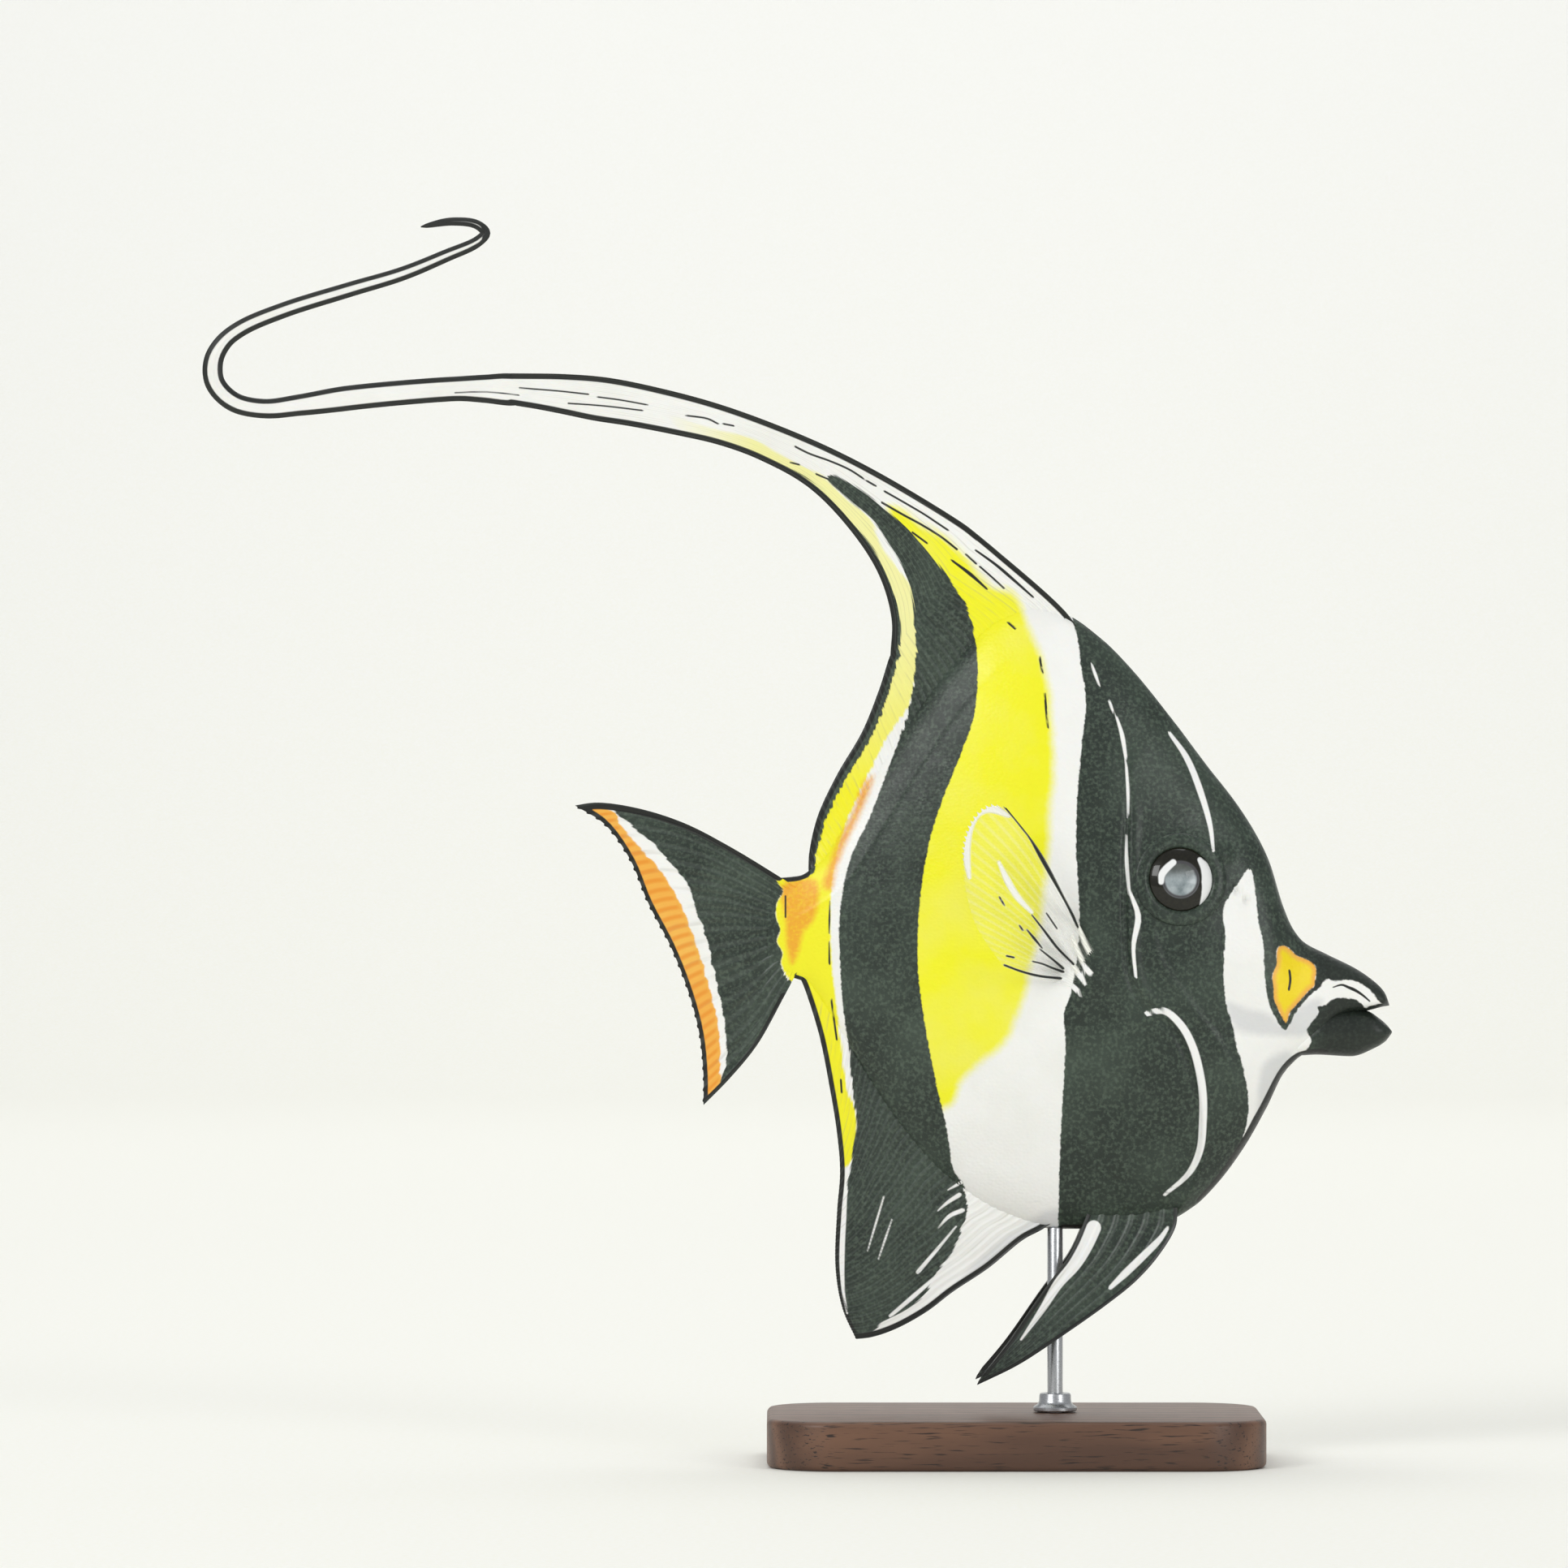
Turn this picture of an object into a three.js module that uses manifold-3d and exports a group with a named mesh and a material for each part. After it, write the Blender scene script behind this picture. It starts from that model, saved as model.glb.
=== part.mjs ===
// A life-size moorish idol on a plain display stand, in millimetres.
// +X is the way the fish swims, +Z is up, and Y is its thickness. Its left side is +Y.
// The origin is the middle of the base's underside, so the stand's foot is at Z = 0.

import * as THREE from "three";
import { mergeVertices } from "three/addons/utils/BufferGeometryUtils.js";
import Module from "manifold-3d";

const wasm = await Module();
wasm.setup();

// Driving sizes.
const touchGap = 0.3; // kept between pieces that meet
const sliver = 0.015; // faces narrower than this, which cuts leave, are smoothed away
const widest = 13.6; // half the body's greatest thickness
const levelOfWidest = -0.08; // share of the half depth by which the widest level lies below the middle
const gillStep = 0.7; // how far the gill cover's rear edge stands out from the flank
const eye = { x: 40.4, z: 143.4, radius: 8.6, halfDepth: 3.7, sunk: 1.1, rim: 0.95 };
const nostrils = [
  { x: 54.2, z: 140.6, radius: 0.75 },
  { x: 56.4, z: 138.2, radius: 0.6 },
];
const browKnob = { x: 51.6, z: 149.6, radius: 1.7, stands: 1.1 };
const mouthCorner = [86, 110.7];
const mouthOpen = { top: [96, 113.4], bottom: [96, 104.4] };
const base = { length: 122, width: 78, height: 12, corner: 17, bevel: 1.4 };
const rod = { x: 10, radius: 1.9, socket: 7, hug: 1.2 };
const collar = { radius: 5.4, height: 4.5, flare: 1.5 };

// Materials, coloured as the parts of the animal that they stand for.
const finish = (color, roughness, metalness = 0) =>
  new THREE.MeshStandardMaterial({ color, roughness, metalness });
const blackSkin = finish("#23282a", 0.42);
const whiteSkin = finish("#f1f0e8", 0.45);
const yellowSkin = finish("#f4e21c", 0.45);
const orangeSkin = finish("#f29a2c", 0.45);
const finMembrane = finish("#e9e4b4", 0.35);
const eyeGlass = finish("#2a2622", 0.12);
const steel = finish("#b9bcbf", 0.3, 1);
const walnut = finish("#5b4331", 0.55);

// A smooth line through [x, z] points, and its point at share t of its length.
const line = (points) =>
  new THREE.CatmullRomCurve3(
    points.map(([x, z]) => new THREE.Vector3(x, 0, z)),
    false,
    "centripetal",
  );
const along = (curve, t) => {
  const p = curve.getPointAt(THREE.MathUtils.clamp(t, 0, 1));
  return [p.x, p.z];
};

// A smooth value through [x, value] pairs in falling or rising x: cubic, with slopes that never overshoot.
function profile(pairs) {
  const p = [...pairs].sort((a, b) => a[0] - b[0]);
  const steps = p.slice(1).map((q, i) => (q[1] - p[i][1]) / (q[0] - p[i][0]));
  const slopes = p.map((q, i) => {
    const [before, after] = [steps[i - 1], steps[i]];
    if (before === undefined) return after;
    if (after === undefined) return before;
    return before * after <= 0 ? 0 : (2 * before * after) / (before + after);
  });
  return (x) => {
    const at = THREE.MathUtils.clamp(x, p[0][0], p[p.length - 1][0]);
    const i = Math.max(0, p.findIndex((q, k) => k > 0 && at <= q[0]) - 1);
    const span = p[i + 1][0] - p[i][0];
    const t = (at - p[i][0]) / span;
    const [t2, t3] = [t * t, t * t * t];
    return (
      (2 * t3 - 3 * t2 + 1) * p[i][1] +
      (t3 - 2 * t2 + t) * span * slopes[i] +
      (3 * t2 - 2 * t3) * p[i + 1][1] +
      (t3 - t2) * span * slopes[i + 1]
    );
  };
}

// The body without its fins: upper edge, lower edge, half thickness and how keeled its sections are.
const upperEdge = profile([
  [92.3, 112.6], [91.2, 115.4], [89.3, 117.6], [84.3, 121.2], [77.1, 124.8], [71.4, 127.8],
  [68.6, 131.2], [66.1, 137], [62.9, 147.4], [60, 153.6], [55, 161.6], [47.1, 171.8], [39.3, 182.2],
  [28.6, 195.4], [21.4, 202.6], [12.7, 208.6], [5, 210.6], [-4, 207.8], [-16, 196], [-28, 179.8],
  [-40, 160.4], [-48, 148], [-53, 144.2], [-59, 143.6],
]);
const lowerEdge = profile([
  [92.3, 104.8], [91.4, 103.4], [89.3, 102.1], [82.9, 99.8], [74.3, 100.2], [70, 99.2],
  [66.4, 95.6], [62.1, 87], [56.4, 77], [50, 68.4], [44.3, 62.8], [37, 58.8], [28, 57.2], [10, 57.2],
  [-2, 60.4], [-16, 69], [-28, 82], [-38, 97], [-46, 110.6], [-52, 118.2], [-59, 119.8],
]);
const halfThickness = profile([
  [92.3, 2], [90.6, 3.7], [87.6, 4.3], [84, 4], [78, 4.4], [71, 5.6], [64, 8], [54, 10.6],
  [40, 12.5], [22, widest], [4, 13.3], [-14, 10.9], [-32, 7.2], [-46, 4.2], [-55, 2.3], [-59, 1.3],
]);
const keel = profile([[91, 0.95], [76, 1], [58, 1.15], [30, 1.35], [-30, 1.35], [-59, 1.1]]);

const snoutTip = 92.3;
const tailRoot = -59;

// Where the body's flank lies at a point of the side view: half its thickness there.
function flank(x, z, grow = 0) {
  const middle = (upperEdge(x) + lowerEdge(x)) / 2;
  const half = (upperEdge(x) - lowerEdge(x)) / 2 + grow;
  const level = (z - middle) / half;
  if (Math.abs(level) >= 1) return 0;
  const shifted = level - levelOfWidest * (1 - level * level);
  return (halfThickness(x) + grow) * Math.pow(1 - shifted * shifted, keel(x) / 2);
}

// The outward direction of the flank on the side that sign names.
function flankNormal(x, z, sign) {
  const d = 0.5;
  const dx = (flank(x + d, z) - flank(x - d, z)) / (2 * d);
  const dz = (flank(x, z + d) - flank(x, z - d)) / (2 * d);
  return new THREE.Vector3(-dx, sign, -dz).normalize();
}

// A closed mesh as a solid, and a solid as a named mesh.
function solid(geometry) {
  const bare = geometry.clone();
  for (const name of ["normal", "uv"]) bare.deleteAttribute(name);
  const merged = mergeVertices(bare, 1e-4);
  const made = new wasm.Manifold(
    new wasm.Mesh({
      numProp: 3,
      vertProperties: new Float32Array(merged.attributes.position.array),
      triVerts: new Uint32Array(merged.index.array),
    }),
  );
  return made;
}
const largest = (s) =>
  s.decompose().reduce((most, piece) => (piece.volume() > most.volume() ? piece : most));

const fish = new THREE.Group();
function addNode(name, shape, material) {
  const kept = largest(largest(shape).simplify(sliver)).getMesh();
  const geometry = new THREE.BufferGeometry();
  geometry.setAttribute("position", new THREE.BufferAttribute(kept.vertProperties, 3));
  geometry.setIndex(new THREE.BufferAttribute(kept.triVerts, 1));
  geometry.computeVertexNormals();
  const mesh = new THREE.Mesh(geometry, material);
  mesh.name = name;
  fish.add(mesh);
}

// A closed geometry from rings of points, each ring listed the same way round, with flat ends.
function skinOverRings(rings) {
  const size = rings[0].length;
  const positions = rings.flat(2);
  const faces = [];
  for (let i = 0; i + 1 < rings.length; i++) {
    for (let j = 0; j < size; j++) {
      const k = (j + 1) % size;
      const [a, b, c, d] = [i * size + j, i * size + k, (i + 1) * size + k, (i + 1) * size + j];
      faces.push(a, b, c, a, c, d);
    }
  }
  const last = (rings.length - 1) * size;
  for (let j = 1; j + 1 < size; j++) {
    faces.push(0, j + 1, j, last, last + j, last + j + 1);
  }
  const geometry = new THREE.BufferGeometry();
  geometry.setAttribute("position", new THREE.Float32BufferAttribute(positions, 3));
  geometry.setIndex(faces);
  return geometry;
}

// The whole body as one form, grown by the given amounts in the side view and in thickness.
const bodyRings = 46;
const ringPoints = 24;
function bodyForm(grow = 0, swell = 0) {
  const rings = [];
  for (let i = 0; i < bodyRings; i++) {
    // Rings crowd towards the snout, where the outline turns fastest.
    const share = i / (bodyRings - 1);
    const x = THREE.MathUtils.lerp(snoutTip + grow, tailRoot - grow, share ** 1.25);
    const middle = (upperEdge(x) + lowerEdge(x)) / 2;
    const half = (upperEdge(x) - lowerEdge(x)) / 2 + grow;
    const ring = [];
    for (let j = 0; j < ringPoints; j++) {
      const angle = (j / ringPoints) * 2 * Math.PI;
      const level = Math.cos(angle);
      const shifted = level - levelOfWidest * (1 - level * level);
      const full = Math.pow(Math.max(0, 1 - shifted * shifted), keel(x) / 2);
      const y = (halfThickness(x) + grow + swell) * full * Math.sign(Math.sin(angle));
      const onKeel = j === 0 || j === ringPoints / 2;
      ring.push([x, onKeel ? 0 : y, middle + half * level]);
    }
    rings.push(ring);
  }
  return solid(skinOverRings(rings));
}

// A prism across the body over an outline in the side view.
const prismHalfWidth = 40;
function prism(outline) {
  const shape = new THREE.Shape(outline.map(([x, z]) => new THREE.Vector2(x, z)));
  const geometry = new THREE.ExtrudeGeometry(shape, {
    depth: 2 * prismHalfWidth,
    bevelEnabled: false,
  });
  geometry.rotateX(Math.PI / 2);
  geometry.translate(0, prismHalfWidth, 0);
  return solid(geometry);
}

// All that lies ahead of a line from above the fish to below it, moved back by an offset.
const farAhead = 140;
function aheadOf(curve, steps, offset = 0) {
  const edge = [];
  for (let i = 0; i <= steps; i++) {
    const [x, z] = along(curve, i / steps);
    edge.push([x - offset, z]);
  }
  return prism([...edge, [farAhead, edge[steps][1]], [farAhead, edge[0][1]]]);
}

// All that lies below a line from ahead of the tail fin to behind it, lowered by an offset.
const farBelow = 60;
function belowLine(curve, steps, offset = 0) {
  const edge = [];
  for (let i = 0; i <= steps; i++) {
    const [x, z] = along(curve, i / steps);
    edge.push([x, z - offset]);
  }
  return prism([...edge, [edge[steps][0], farBelow], [edge[0][0], farBelow]]);
}

// An ellipsoid that lies on the flank, its short axis along the flank's normal.
function flankLens(x, z, side, radius, halfDepth, sunk, grow = 0, segments = 18) {
  const normal = flankNormal(x, z, side);
  const centre = new THREE.Vector3(x, side * (flank(x, z) + gillStep), z);
  centre.addScaledVector(normal, -sunk);
  const lens = new THREE.SphereGeometry(1, segments, Math.round(segments / 2));
  lens.rotateX(Math.PI / 2);
  lens.scale(radius + grow, radius + grow, halfDepth + grow);
  const turn = new THREE.Quaternion().setFromUnitVectors(new THREE.Vector3(0, 0, 1), normal);
  lens.applyQuaternion(turn);
  lens.translate(centre.x, centre.y, centre.z);
  return solid(lens);
}

// The ring of skin round an eye.
function eyeRim(side) {
  const normal = flankNormal(eye.x, eye.z, side);
  const ring = new THREE.TorusGeometry(eye.radius, eye.rim, 6, 24);
  ring.scale(1, 1, 1.1);
  ring.applyQuaternion(
    new THREE.Quaternion().setFromUnitVectors(new THREE.Vector3(0, 0, 1), normal),
  );
  ring.translate(eye.x, side * (flank(eye.x, eye.z) + gillStep), eye.z);
  return solid(ring);
}

// The cuts that part the body: gill opening, snout, lower jaw and tail stalk.
const gillOpening = line([
  [17, 230], [21.4, 203], [25.4, 184], [28, 165], [27.6, 146], [27.6, 131], [29, 118.6],
  [33, 112], [38.6, 107.6], [42.9, 99.6], [45.4, 88.6], [45.4, 77.1], [43, 69], [38, 57], [30, 30],
]);
const snoutRoot = line([
  [52, 230], [62, 156], [67.5, 132], [69.5, 115], [70, 98], [68, 84], [60, 30],
]);
const stalkRoot = line([
  [-56, 240], [-50, 170], [-46.5, 145], [-46, 130], [-46.5, 112], [-49, 90], [-56, 30],
]);
const jawEdge = line([
  [98, 107.6], [90, 109.4], mouthCorner, [81, 111.8], [76.8, 110.8], [73.6, 106.6], [73.4, 101], [73.8, 92],
]);

const wholeBody = bodyForm();
const bodyClear = bodyForm(touchGap);
const headForm = bodyForm(0, gillStep);
const headClear = bodyForm(touchGap, gillStep);

function addBody() {
  const cutSteps = 14;
  const sides = [-1, 1];
  let front = headForm.intersect(aheadOf(gillOpening, cutSteps));
  for (const side of sides) {
    front = front.add(eyeRim(side));
    const knob = browKnob;
    const sunk = knob.radius - knob.stands;
    front = front.add(flankLens(knob.x, knob.z, side, knob.radius, knob.radius, sunk, 0, 10));
  }
  for (const side of sides) {
    front = front.subtract(
      flankLens(eye.x, eye.z, side, eye.radius, eye.halfDepth, eye.sunk, touchGap),
    );
    for (const hole of nostrils) {
      front = front.subtract(flankLens(hole.x, hole.z, side, hole.radius, 1.3, 0, 0, 10));
    }
  }
  const rear = wholeBody.subtract(aheadOf(gillOpening, cutSteps, touchGap));
  const tail = aheadOf(stalkRoot, cutSteps);
  const tailClear = aheadOf(stalkRoot, cutSteps, touchGap);
  addNode("torso", rear.intersect(tail), yellowSkin);
  addNode("tail_stalk", rear.subtract(tailClear), orangeSkin);

  addNode("head", front.subtract(aheadOf(snoutRoot, cutSteps, touchGap)), blackSkin);
  const muzzle = front.intersect(aheadOf(snoutRoot, cutSteps));
  const mouth = prism([mouthCorner, mouthOpen.bottom, mouthOpen.top]);
  const jawSide = (offset) => {
    const edge = [];
    for (let i = 0; i <= cutSteps; i++) {
      const [x, z] = along(jawEdge, i / cutSteps);
      edge.push([x - offset, z + offset]);
    }
    return prism([...edge, [farAhead, 92], [farAhead, edge[0][1]]]);
  };
  addNode("snout", muzzle.subtract(jawSide(touchGap)).subtract(mouth), whiteSkin);
  addNode("lower_jaw", muzzle.intersect(jawSide(0)).subtract(mouth), blackSkin);
  for (const side of sides) {
    const name = side > 0 ? "eye_left" : "eye_right";
    addNode(name, flankLens(eye.x, eye.z, side, eye.radius, eye.halfDepth, eye.sunk), eyeGlass);
  }
}

// A fin as a patch between four lines of the side view, with each ray a ridge on both faces.
// u runs from the first ray to the last, v from the root to the margin.
function finForm(fin) {
  const { root, leading, margin, trailing, rays, rows } = fin;
  const [from, until] = fin.length ?? [0, 1];
  const columns = 2 * rays;
  const ease = fin.ease ?? 1;
  const corner = {
    r0: along(root, 0),
    r1: along(root, 1),
    m0: along(margin, 0),
    m1: along(margin, 1),
  };
  const patch = (u, v) => {
    const [r, m] = [along(root, u), along(margin, 1 - (1 - u) ** ease)];
    const [l, t] = [along(leading, v), along(trailing, v)];
    return [0, 1].map(
      (k) =>
        (1 - v) * r[k] + v * m[k] + (1 - u) * l[k] + u * t[k] -
        (1 - u) * ((1 - v) * corner.r0[k] + v * corner.m0[k]) -
        u * ((1 - v) * corner.r1[k] + v * corner.m1[k]),
    );
  };
  const faces = [[], []];
  for (let i = 0; i <= columns; i++) {
    const u = i / columns;
    const onRay = i % 2 === 0;
    for (let j = 0; j <= rows; j++) {
      const v = THREE.MathUtils.lerp(from, until, (j / rows) * (onRay ? 1 : 1 - fin.notch));
      const [x, z] = patch(u, v);
      const taper = THREE.MathUtils.lerp(fin.rootHalf, fin.edgeHalf, v ** 0.8);
      const spine = fin.spine ? fin.spine * (1 - 0.6 * v) * Math.exp(-u * 22) : 0;
      const half = taper + spine + (onRay ? fin.ridge * (1 - 0.55 * v) : 0);
      const lean = fin.lean ? fin.lean(u, v, x, z) : 0;
      faces[0].push([x, lean + half, z]);
      faces[1].push([x, lean - half, z]);
    }
  }
  return solid(closedSheet(faces, columns + 1, rows + 1));
}

// Two grids of points, front and back, as one closed geometry with alike triangles on both.
function closedSheet([front, back], across, down) {
  const at = (i, j) => i * down + j;
  const offset = front.length;
  const faces = [];
  for (let i = 0; i + 1 < across; i++) {
    for (let j = 0; j + 1 < down; j++) {
      const [a, b, c, d] = [at(i, j), at(i + 1, j), at(i + 1, j + 1), at(i, j + 1)];
      faces.push(a, b, c, a, c, d);
      faces.push(offset + a, offset + c, offset + b, offset + a, offset + d, offset + c);
    }
  }
  const rim = [];
  for (let i = 0; i + 1 < across; i++) rim.push(at(i, 0));
  for (let j = 0; j + 1 < down; j++) rim.push(at(across - 1, j));
  for (let i = across - 1; i > 0; i--) rim.push(at(i, down - 1));
  for (let j = down - 1; j > 0; j--) rim.push(at(0, j));
  rim.forEach((a, k) => {
    const b = rim[(k + 1) % rim.length];
    faces.push(a, offset + b, b, a, offset + a, offset + b);
  });
  const geometry = new THREE.BufferGeometry();
  geometry.setAttribute(
    "position",
    new THREE.Float32BufferAttribute([...front, ...back].flat(), 3),
  );
  geometry.setIndex(faces);
  const made = new wasm.Mesh({
    numProp: 3,
    vertProperties: new Float32Array(geometry.attributes.position.array),
    triVerts: new Uint32Array(faces),
  });
  if (new wasm.Manifold(made).volume() < 0) {
    for (let k = 0; k < faces.length; k += 3) {
      [faces[k + 1], faces[k + 2]] = [faces[k + 2], faces[k + 1]];
    }
    geometry.setIndex(faces);
  }
  return geometry;
}

// The dorsal fin rises from the back and narrows into the streamer.
const dorsal = {
  root: line([[17, 203], [6, 206], [-4, 203], [-16, 191], [-28, 175], [-40, 155.6], [-50, 141.6]]),
  leading: line([[17, 203], [12.4, 209.4], [-4, 224], [-8.8, 228]]),
  margin: line([
    [-8.8, 228], [-16.07, 218.17], [-23.33, 208.33], [-28.8, 200.94], [-30.6, 198.5], [-33.5, 190],
    [-37.5, 180], [-44, 168.8], [-48.6, 158.8], [-50.6, 150], [-50.8, 146],
  ]),
  trailing: line([[-50, 141.6], [-50.6, 143.8], [-50.8, 146]]),
  rays: 15,
  rows: 10,
  notch: 0.006,
  rootHalf: 1.05,
  edgeHalf: 0.42,
  ridge: 0.3,
  spine: 0.7,
};

// Its front is drawn out into the streamer. The streamer's broad first stretch is a strip between an
// upper and a lower edge, with the front rays along it. It bends, so it is made in lengths.
const strip = {
  root: line([[-9.16, 228.27], [-20, 213.6], [-30.96, 198.77]]),
  leading: line([
    [-9.16, 228.27], [-12.4, 230.8], [-30.7, 242], [-44, 249], [-57.3, 254.8], [-72.7, 260.4],
    [-86.7, 264.2], [-100, 266.9], [-110.7, 267.8], [-124, 268],
  ]),
  margin: line([[-124, 268], [-124, 264], [-124, 260]]),
  trailing: line([
    [-30.96, 198.77], [-30.3, 207.3], [-33.3, 218], [-40, 228.7], [-50.7, 239.8], [-62.7, 246.6],
    [-72.7, 250.3], [-84, 252.9], [-97.3, 255.3], [-110.7, 257], [-117.3, 258], [-124, 260],
  ]),
  rays: 5,
  notch: 0,
  rootHalf: 0.6,
  edgeHalf: 0.5,
  ridge: 0.28,
  spine: 0.5,
};
const stripLengths = [
  { until: 0.26, rows: 6 },
  { until: 0.56, rows: 6 },
  { until: 1, rows: 7 },
];

// The anal fin hangs from the rear of the belly and comes to a point.
const anal = {
  root: line([[12, 61], [-2, 64.4], [-14, 72.4], [-25, 84], [-35, 99], [-43, 112.6], [-51, 121]]),
  leading: line([
    [12, 61], [7, 57.2], [2.2, 54.6], [-6.5, 47.5], [-15.2, 41.7], [-21.5, 36.9], [-29, 32.7], [-35, 30.6],
    [-39.6, 30],
  ]),
  margin: line([
    [-39.6, 30], [-42.8, 37.5], [-44.4, 47.5], [-43.9, 61.3], [-43.1, 71.3], [-43.9, 81.3], [-45.7, 92.5],
    [-48.2, 105], [-51.6, 116], [-53, 119.4],
  ]),
  trailing: line([[-51, 121], [-52, 120.4], [-53, 119.4]]),
  rays: 12,
  rows: 9,
  ease: 1.15,
  notch: 0.008,
  rootHalf: 1.05,
  edgeHalf: 0.38,
  ridge: 0.28,
  spine: 0.5,
};

// The tail fin, with its hind edge hollowed between two points.
const caudal = {
  root: line([[-54, 141.4], [-55.4, 136], [-55.6, 130], [-55, 124], [-53.4, 120.8]]),
  leading: line([
    [-54, 141.4], [-58.6, 144.4], [-70.2, 151.4], [-81.5, 157.2], [-92.8, 160.8], [-102.8, 162.2],
    [-109, 161.4],
  ]),
  margin: line([
    [-109, 161.4], [-101.5, 156.7], [-95.2, 148], [-90.8, 137.5], [-85, 126.3], [-80.6, 115], [-78, 105],
    [-77, 95], [-77, 87.3],
  ]),
  trailing: line([[-53.4, 120.8], [-57.1, 113.8], [-63.4, 102.5], [-70.2, 94.2], [-77, 87.3]]),
  rays: 13,
  rows: 7,
  notch: 0.014,
  rootHalf: 1.1,
  edgeHalf: 0.34,
  ridge: 0.3,
  spine: 0.3,
};
// The tail fin is parted along its middle, so that each half fills its own lobe.
const caudalMiddle = line([[-40, 132.4], [-58, 131.6], [-76, 129.4], [-94, 125.4], [-120, 118]]);

// Paired fins lean away from the flank as they leave it.
const pelvic = {
  root: line([[40, 62.4], [33, 62.6], [26, 61.6], [18, 61.4]]),
  leading: line([
    [40, 62.4], [39.6, 57.8], [35.7, 51.2], [30, 44.8], [22.9, 39.1], [10.7, 30.6], [0.7, 24.2],
    [-9.4, 19.4],
  ]),
  margin: line([[-9.4, 19.4], [-9.2, 20], [-8.6, 21], [-7.6, 22.4]]),
  trailing: line([[18, 61.4], [16.4, 57.4], [13.4, 51], [7, 42.4], [-1.6, 30], [-7.6, 22.4]]),
  rays: 6,
  rows: 9,
  notch: 0.006,
  rootHalf: 1,
  edgeHalf: 0.32,
  ridge: 0.26,
  spine: 0.35,
};
const pectoral = {
  root: line([[20.6, 123], [20.2, 120.6], [18.4, 118.2], [15.6, 116.2]]),
  leading: line([[20.6, 123], [17.6, 128.6], [12.4, 138], [5.6, 150.4], [-3.2, 161.6]]),
  margin: line([
    [-3.2, 161.6], [-7, 162], [-10.6, 159.4], [-13.2, 153.6], [-13.4, 144], [-10.4, 132.6], [-3.6, 122.4],
  ]),
  trailing: line([[15.6, 116.2], [10.6, 118], [4, 119.8], [-3.6, 122.4]]),
  rays: 9,
  rows: 6,
  notch: 0.02,
  rootHalf: 0.85,
  edgeHalf: 0.3,
  ridge: 0.24,
  spine: 0.25,
};
const pelvicSpread = { root: 1.9, tip: 11.5 };
const pectoralSpread = { sunk: 1.4, flare: 15 };

function addFins() {
  addNode("dorsal_fin", finForm(dorsal).subtract(bodyClear).subtract(headClear), blackSkin);
  const stripGap = touchGap / strip.trailing.getLength();
  stripLengths.forEach(({ until, rows }, k) => {
    const from = k ? stripLengths[k - 1].until + stripGap : 0;
    const stretch = finForm({ ...strip, rows, length: [from, until] });
    addNode(`dorsal_streamer_${k + 1}`, stretch, whiteSkin);
  });
  addNode("anal_fin", finForm(anal).subtract(bodyClear), blackSkin);
  const tailFan = finForm(caudal).subtract(bodyClear);
  addNode("caudal_fin_upper", tailFan.subtract(belowLine(caudalMiddle, 4)), blackSkin);
  addNode("caudal_fin_lower", tailFan.intersect(belowLine(caudalMiddle, 4, touchGap)), blackSkin);
  for (const side of [-1, 1]) {
    const word = side > 0 ? "left" : "right";
    const hanging = finForm({
      ...pelvic,
      lean: (u, v) => side * THREE.MathUtils.lerp(pelvicSpread.root, pelvicSpread.tip, v ** 1.1),
    });
    addNode(`pelvic_fin_${word}`, hanging.subtract(bodyClear).subtract(headClear), blackSkin);
    const raised = finForm({
      ...pectoral,
      lean: (u, v) =>
        side * (flank(18, 119) - pectoralSpread.sunk + pectoralSpread.flare * v ** 1.15 * (1 - 0.25 * u)),
    });
    addNode(`pectoral_fin_${word}`, raised.subtract(bodyClear).subtract(headClear), finMembrane);
  }
}

// The streamer beyond the fin's rays: a flattened whip whose route hooks forward at its end.
const streamer = {
  route: line([
    [-124.3, 264], [-131, 264.2], [-137, 264.2], [-150, 263.3], [-164, 261.9], [-176, 260.2], [-185, 259.3],
    [-192.5, 261], [-197, 265.6], [-197.4, 271], [-195, 275.6], [-190.4, 279.2], [-180, 283.6],
    [-164, 288.6],
    [-150.7, 292.6], [-140, 297], [-132.4, 300.4], [-130.4, 302.6], [-132.6, 304.7], [-138.7, 305.4],
    [-146.3, 304.1],
  ]),
  halfHeight: profile([
    [0, 4], [0.035, 3.5], [0.08, 3.05], [0.23, 3.1], [0.31, 2.6], [0.36, 2.4], [0.45, 2.5], [0.51, 2.05],
    [0.7, 1.85], [0.86, 1.5], [0.92, 1.15], [0.96, 1], [1, 0.3],
  ]),
  halfThickness: profile([[0, 0.75], [0.5, 0.7], [0.85, 0.6], [1, 0.28]]),
  sections: 8,
};
const streamerLengths = [
  { until: 0.3, rings: 9 },
  { until: 0.46, rings: 10 },
  { until: 0.7, rings: 12 },
  { until: 1, rings: 22 },
];

function addStreamer() {
  const total = streamer.route.getLength();
  streamerLengths.forEach((stretch, k) => {
    const from = k ? streamerLengths[k - 1].until + touchGap / total : 0;
    const rings = [];
    for (let i = 0; i <= stretch.rings; i++) {
      const t = THREE.MathUtils.lerp(from, stretch.until, i / stretch.rings);
      const [x, z] = along(streamer.route, t);
      const way = streamer.route.getTangentAt(t);
      const ring = [];
      for (let j = 0; j < streamer.sections; j++) {
        const angle = (j / streamer.sections) * 2 * Math.PI;
        const up = streamer.halfHeight(t) * Math.cos(angle);
        const out = streamer.halfThickness(t) * Math.sin(angle);
        ring.push([x - way.z * up, -out, z + way.x * up]);
      }
      rings.push(ring);
    }
    addNode(`dorsal_streamer_${stripLengths.length + k + 1}`, solid(skinOverRings(rings)), whiteSkin);
  });
}

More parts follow.
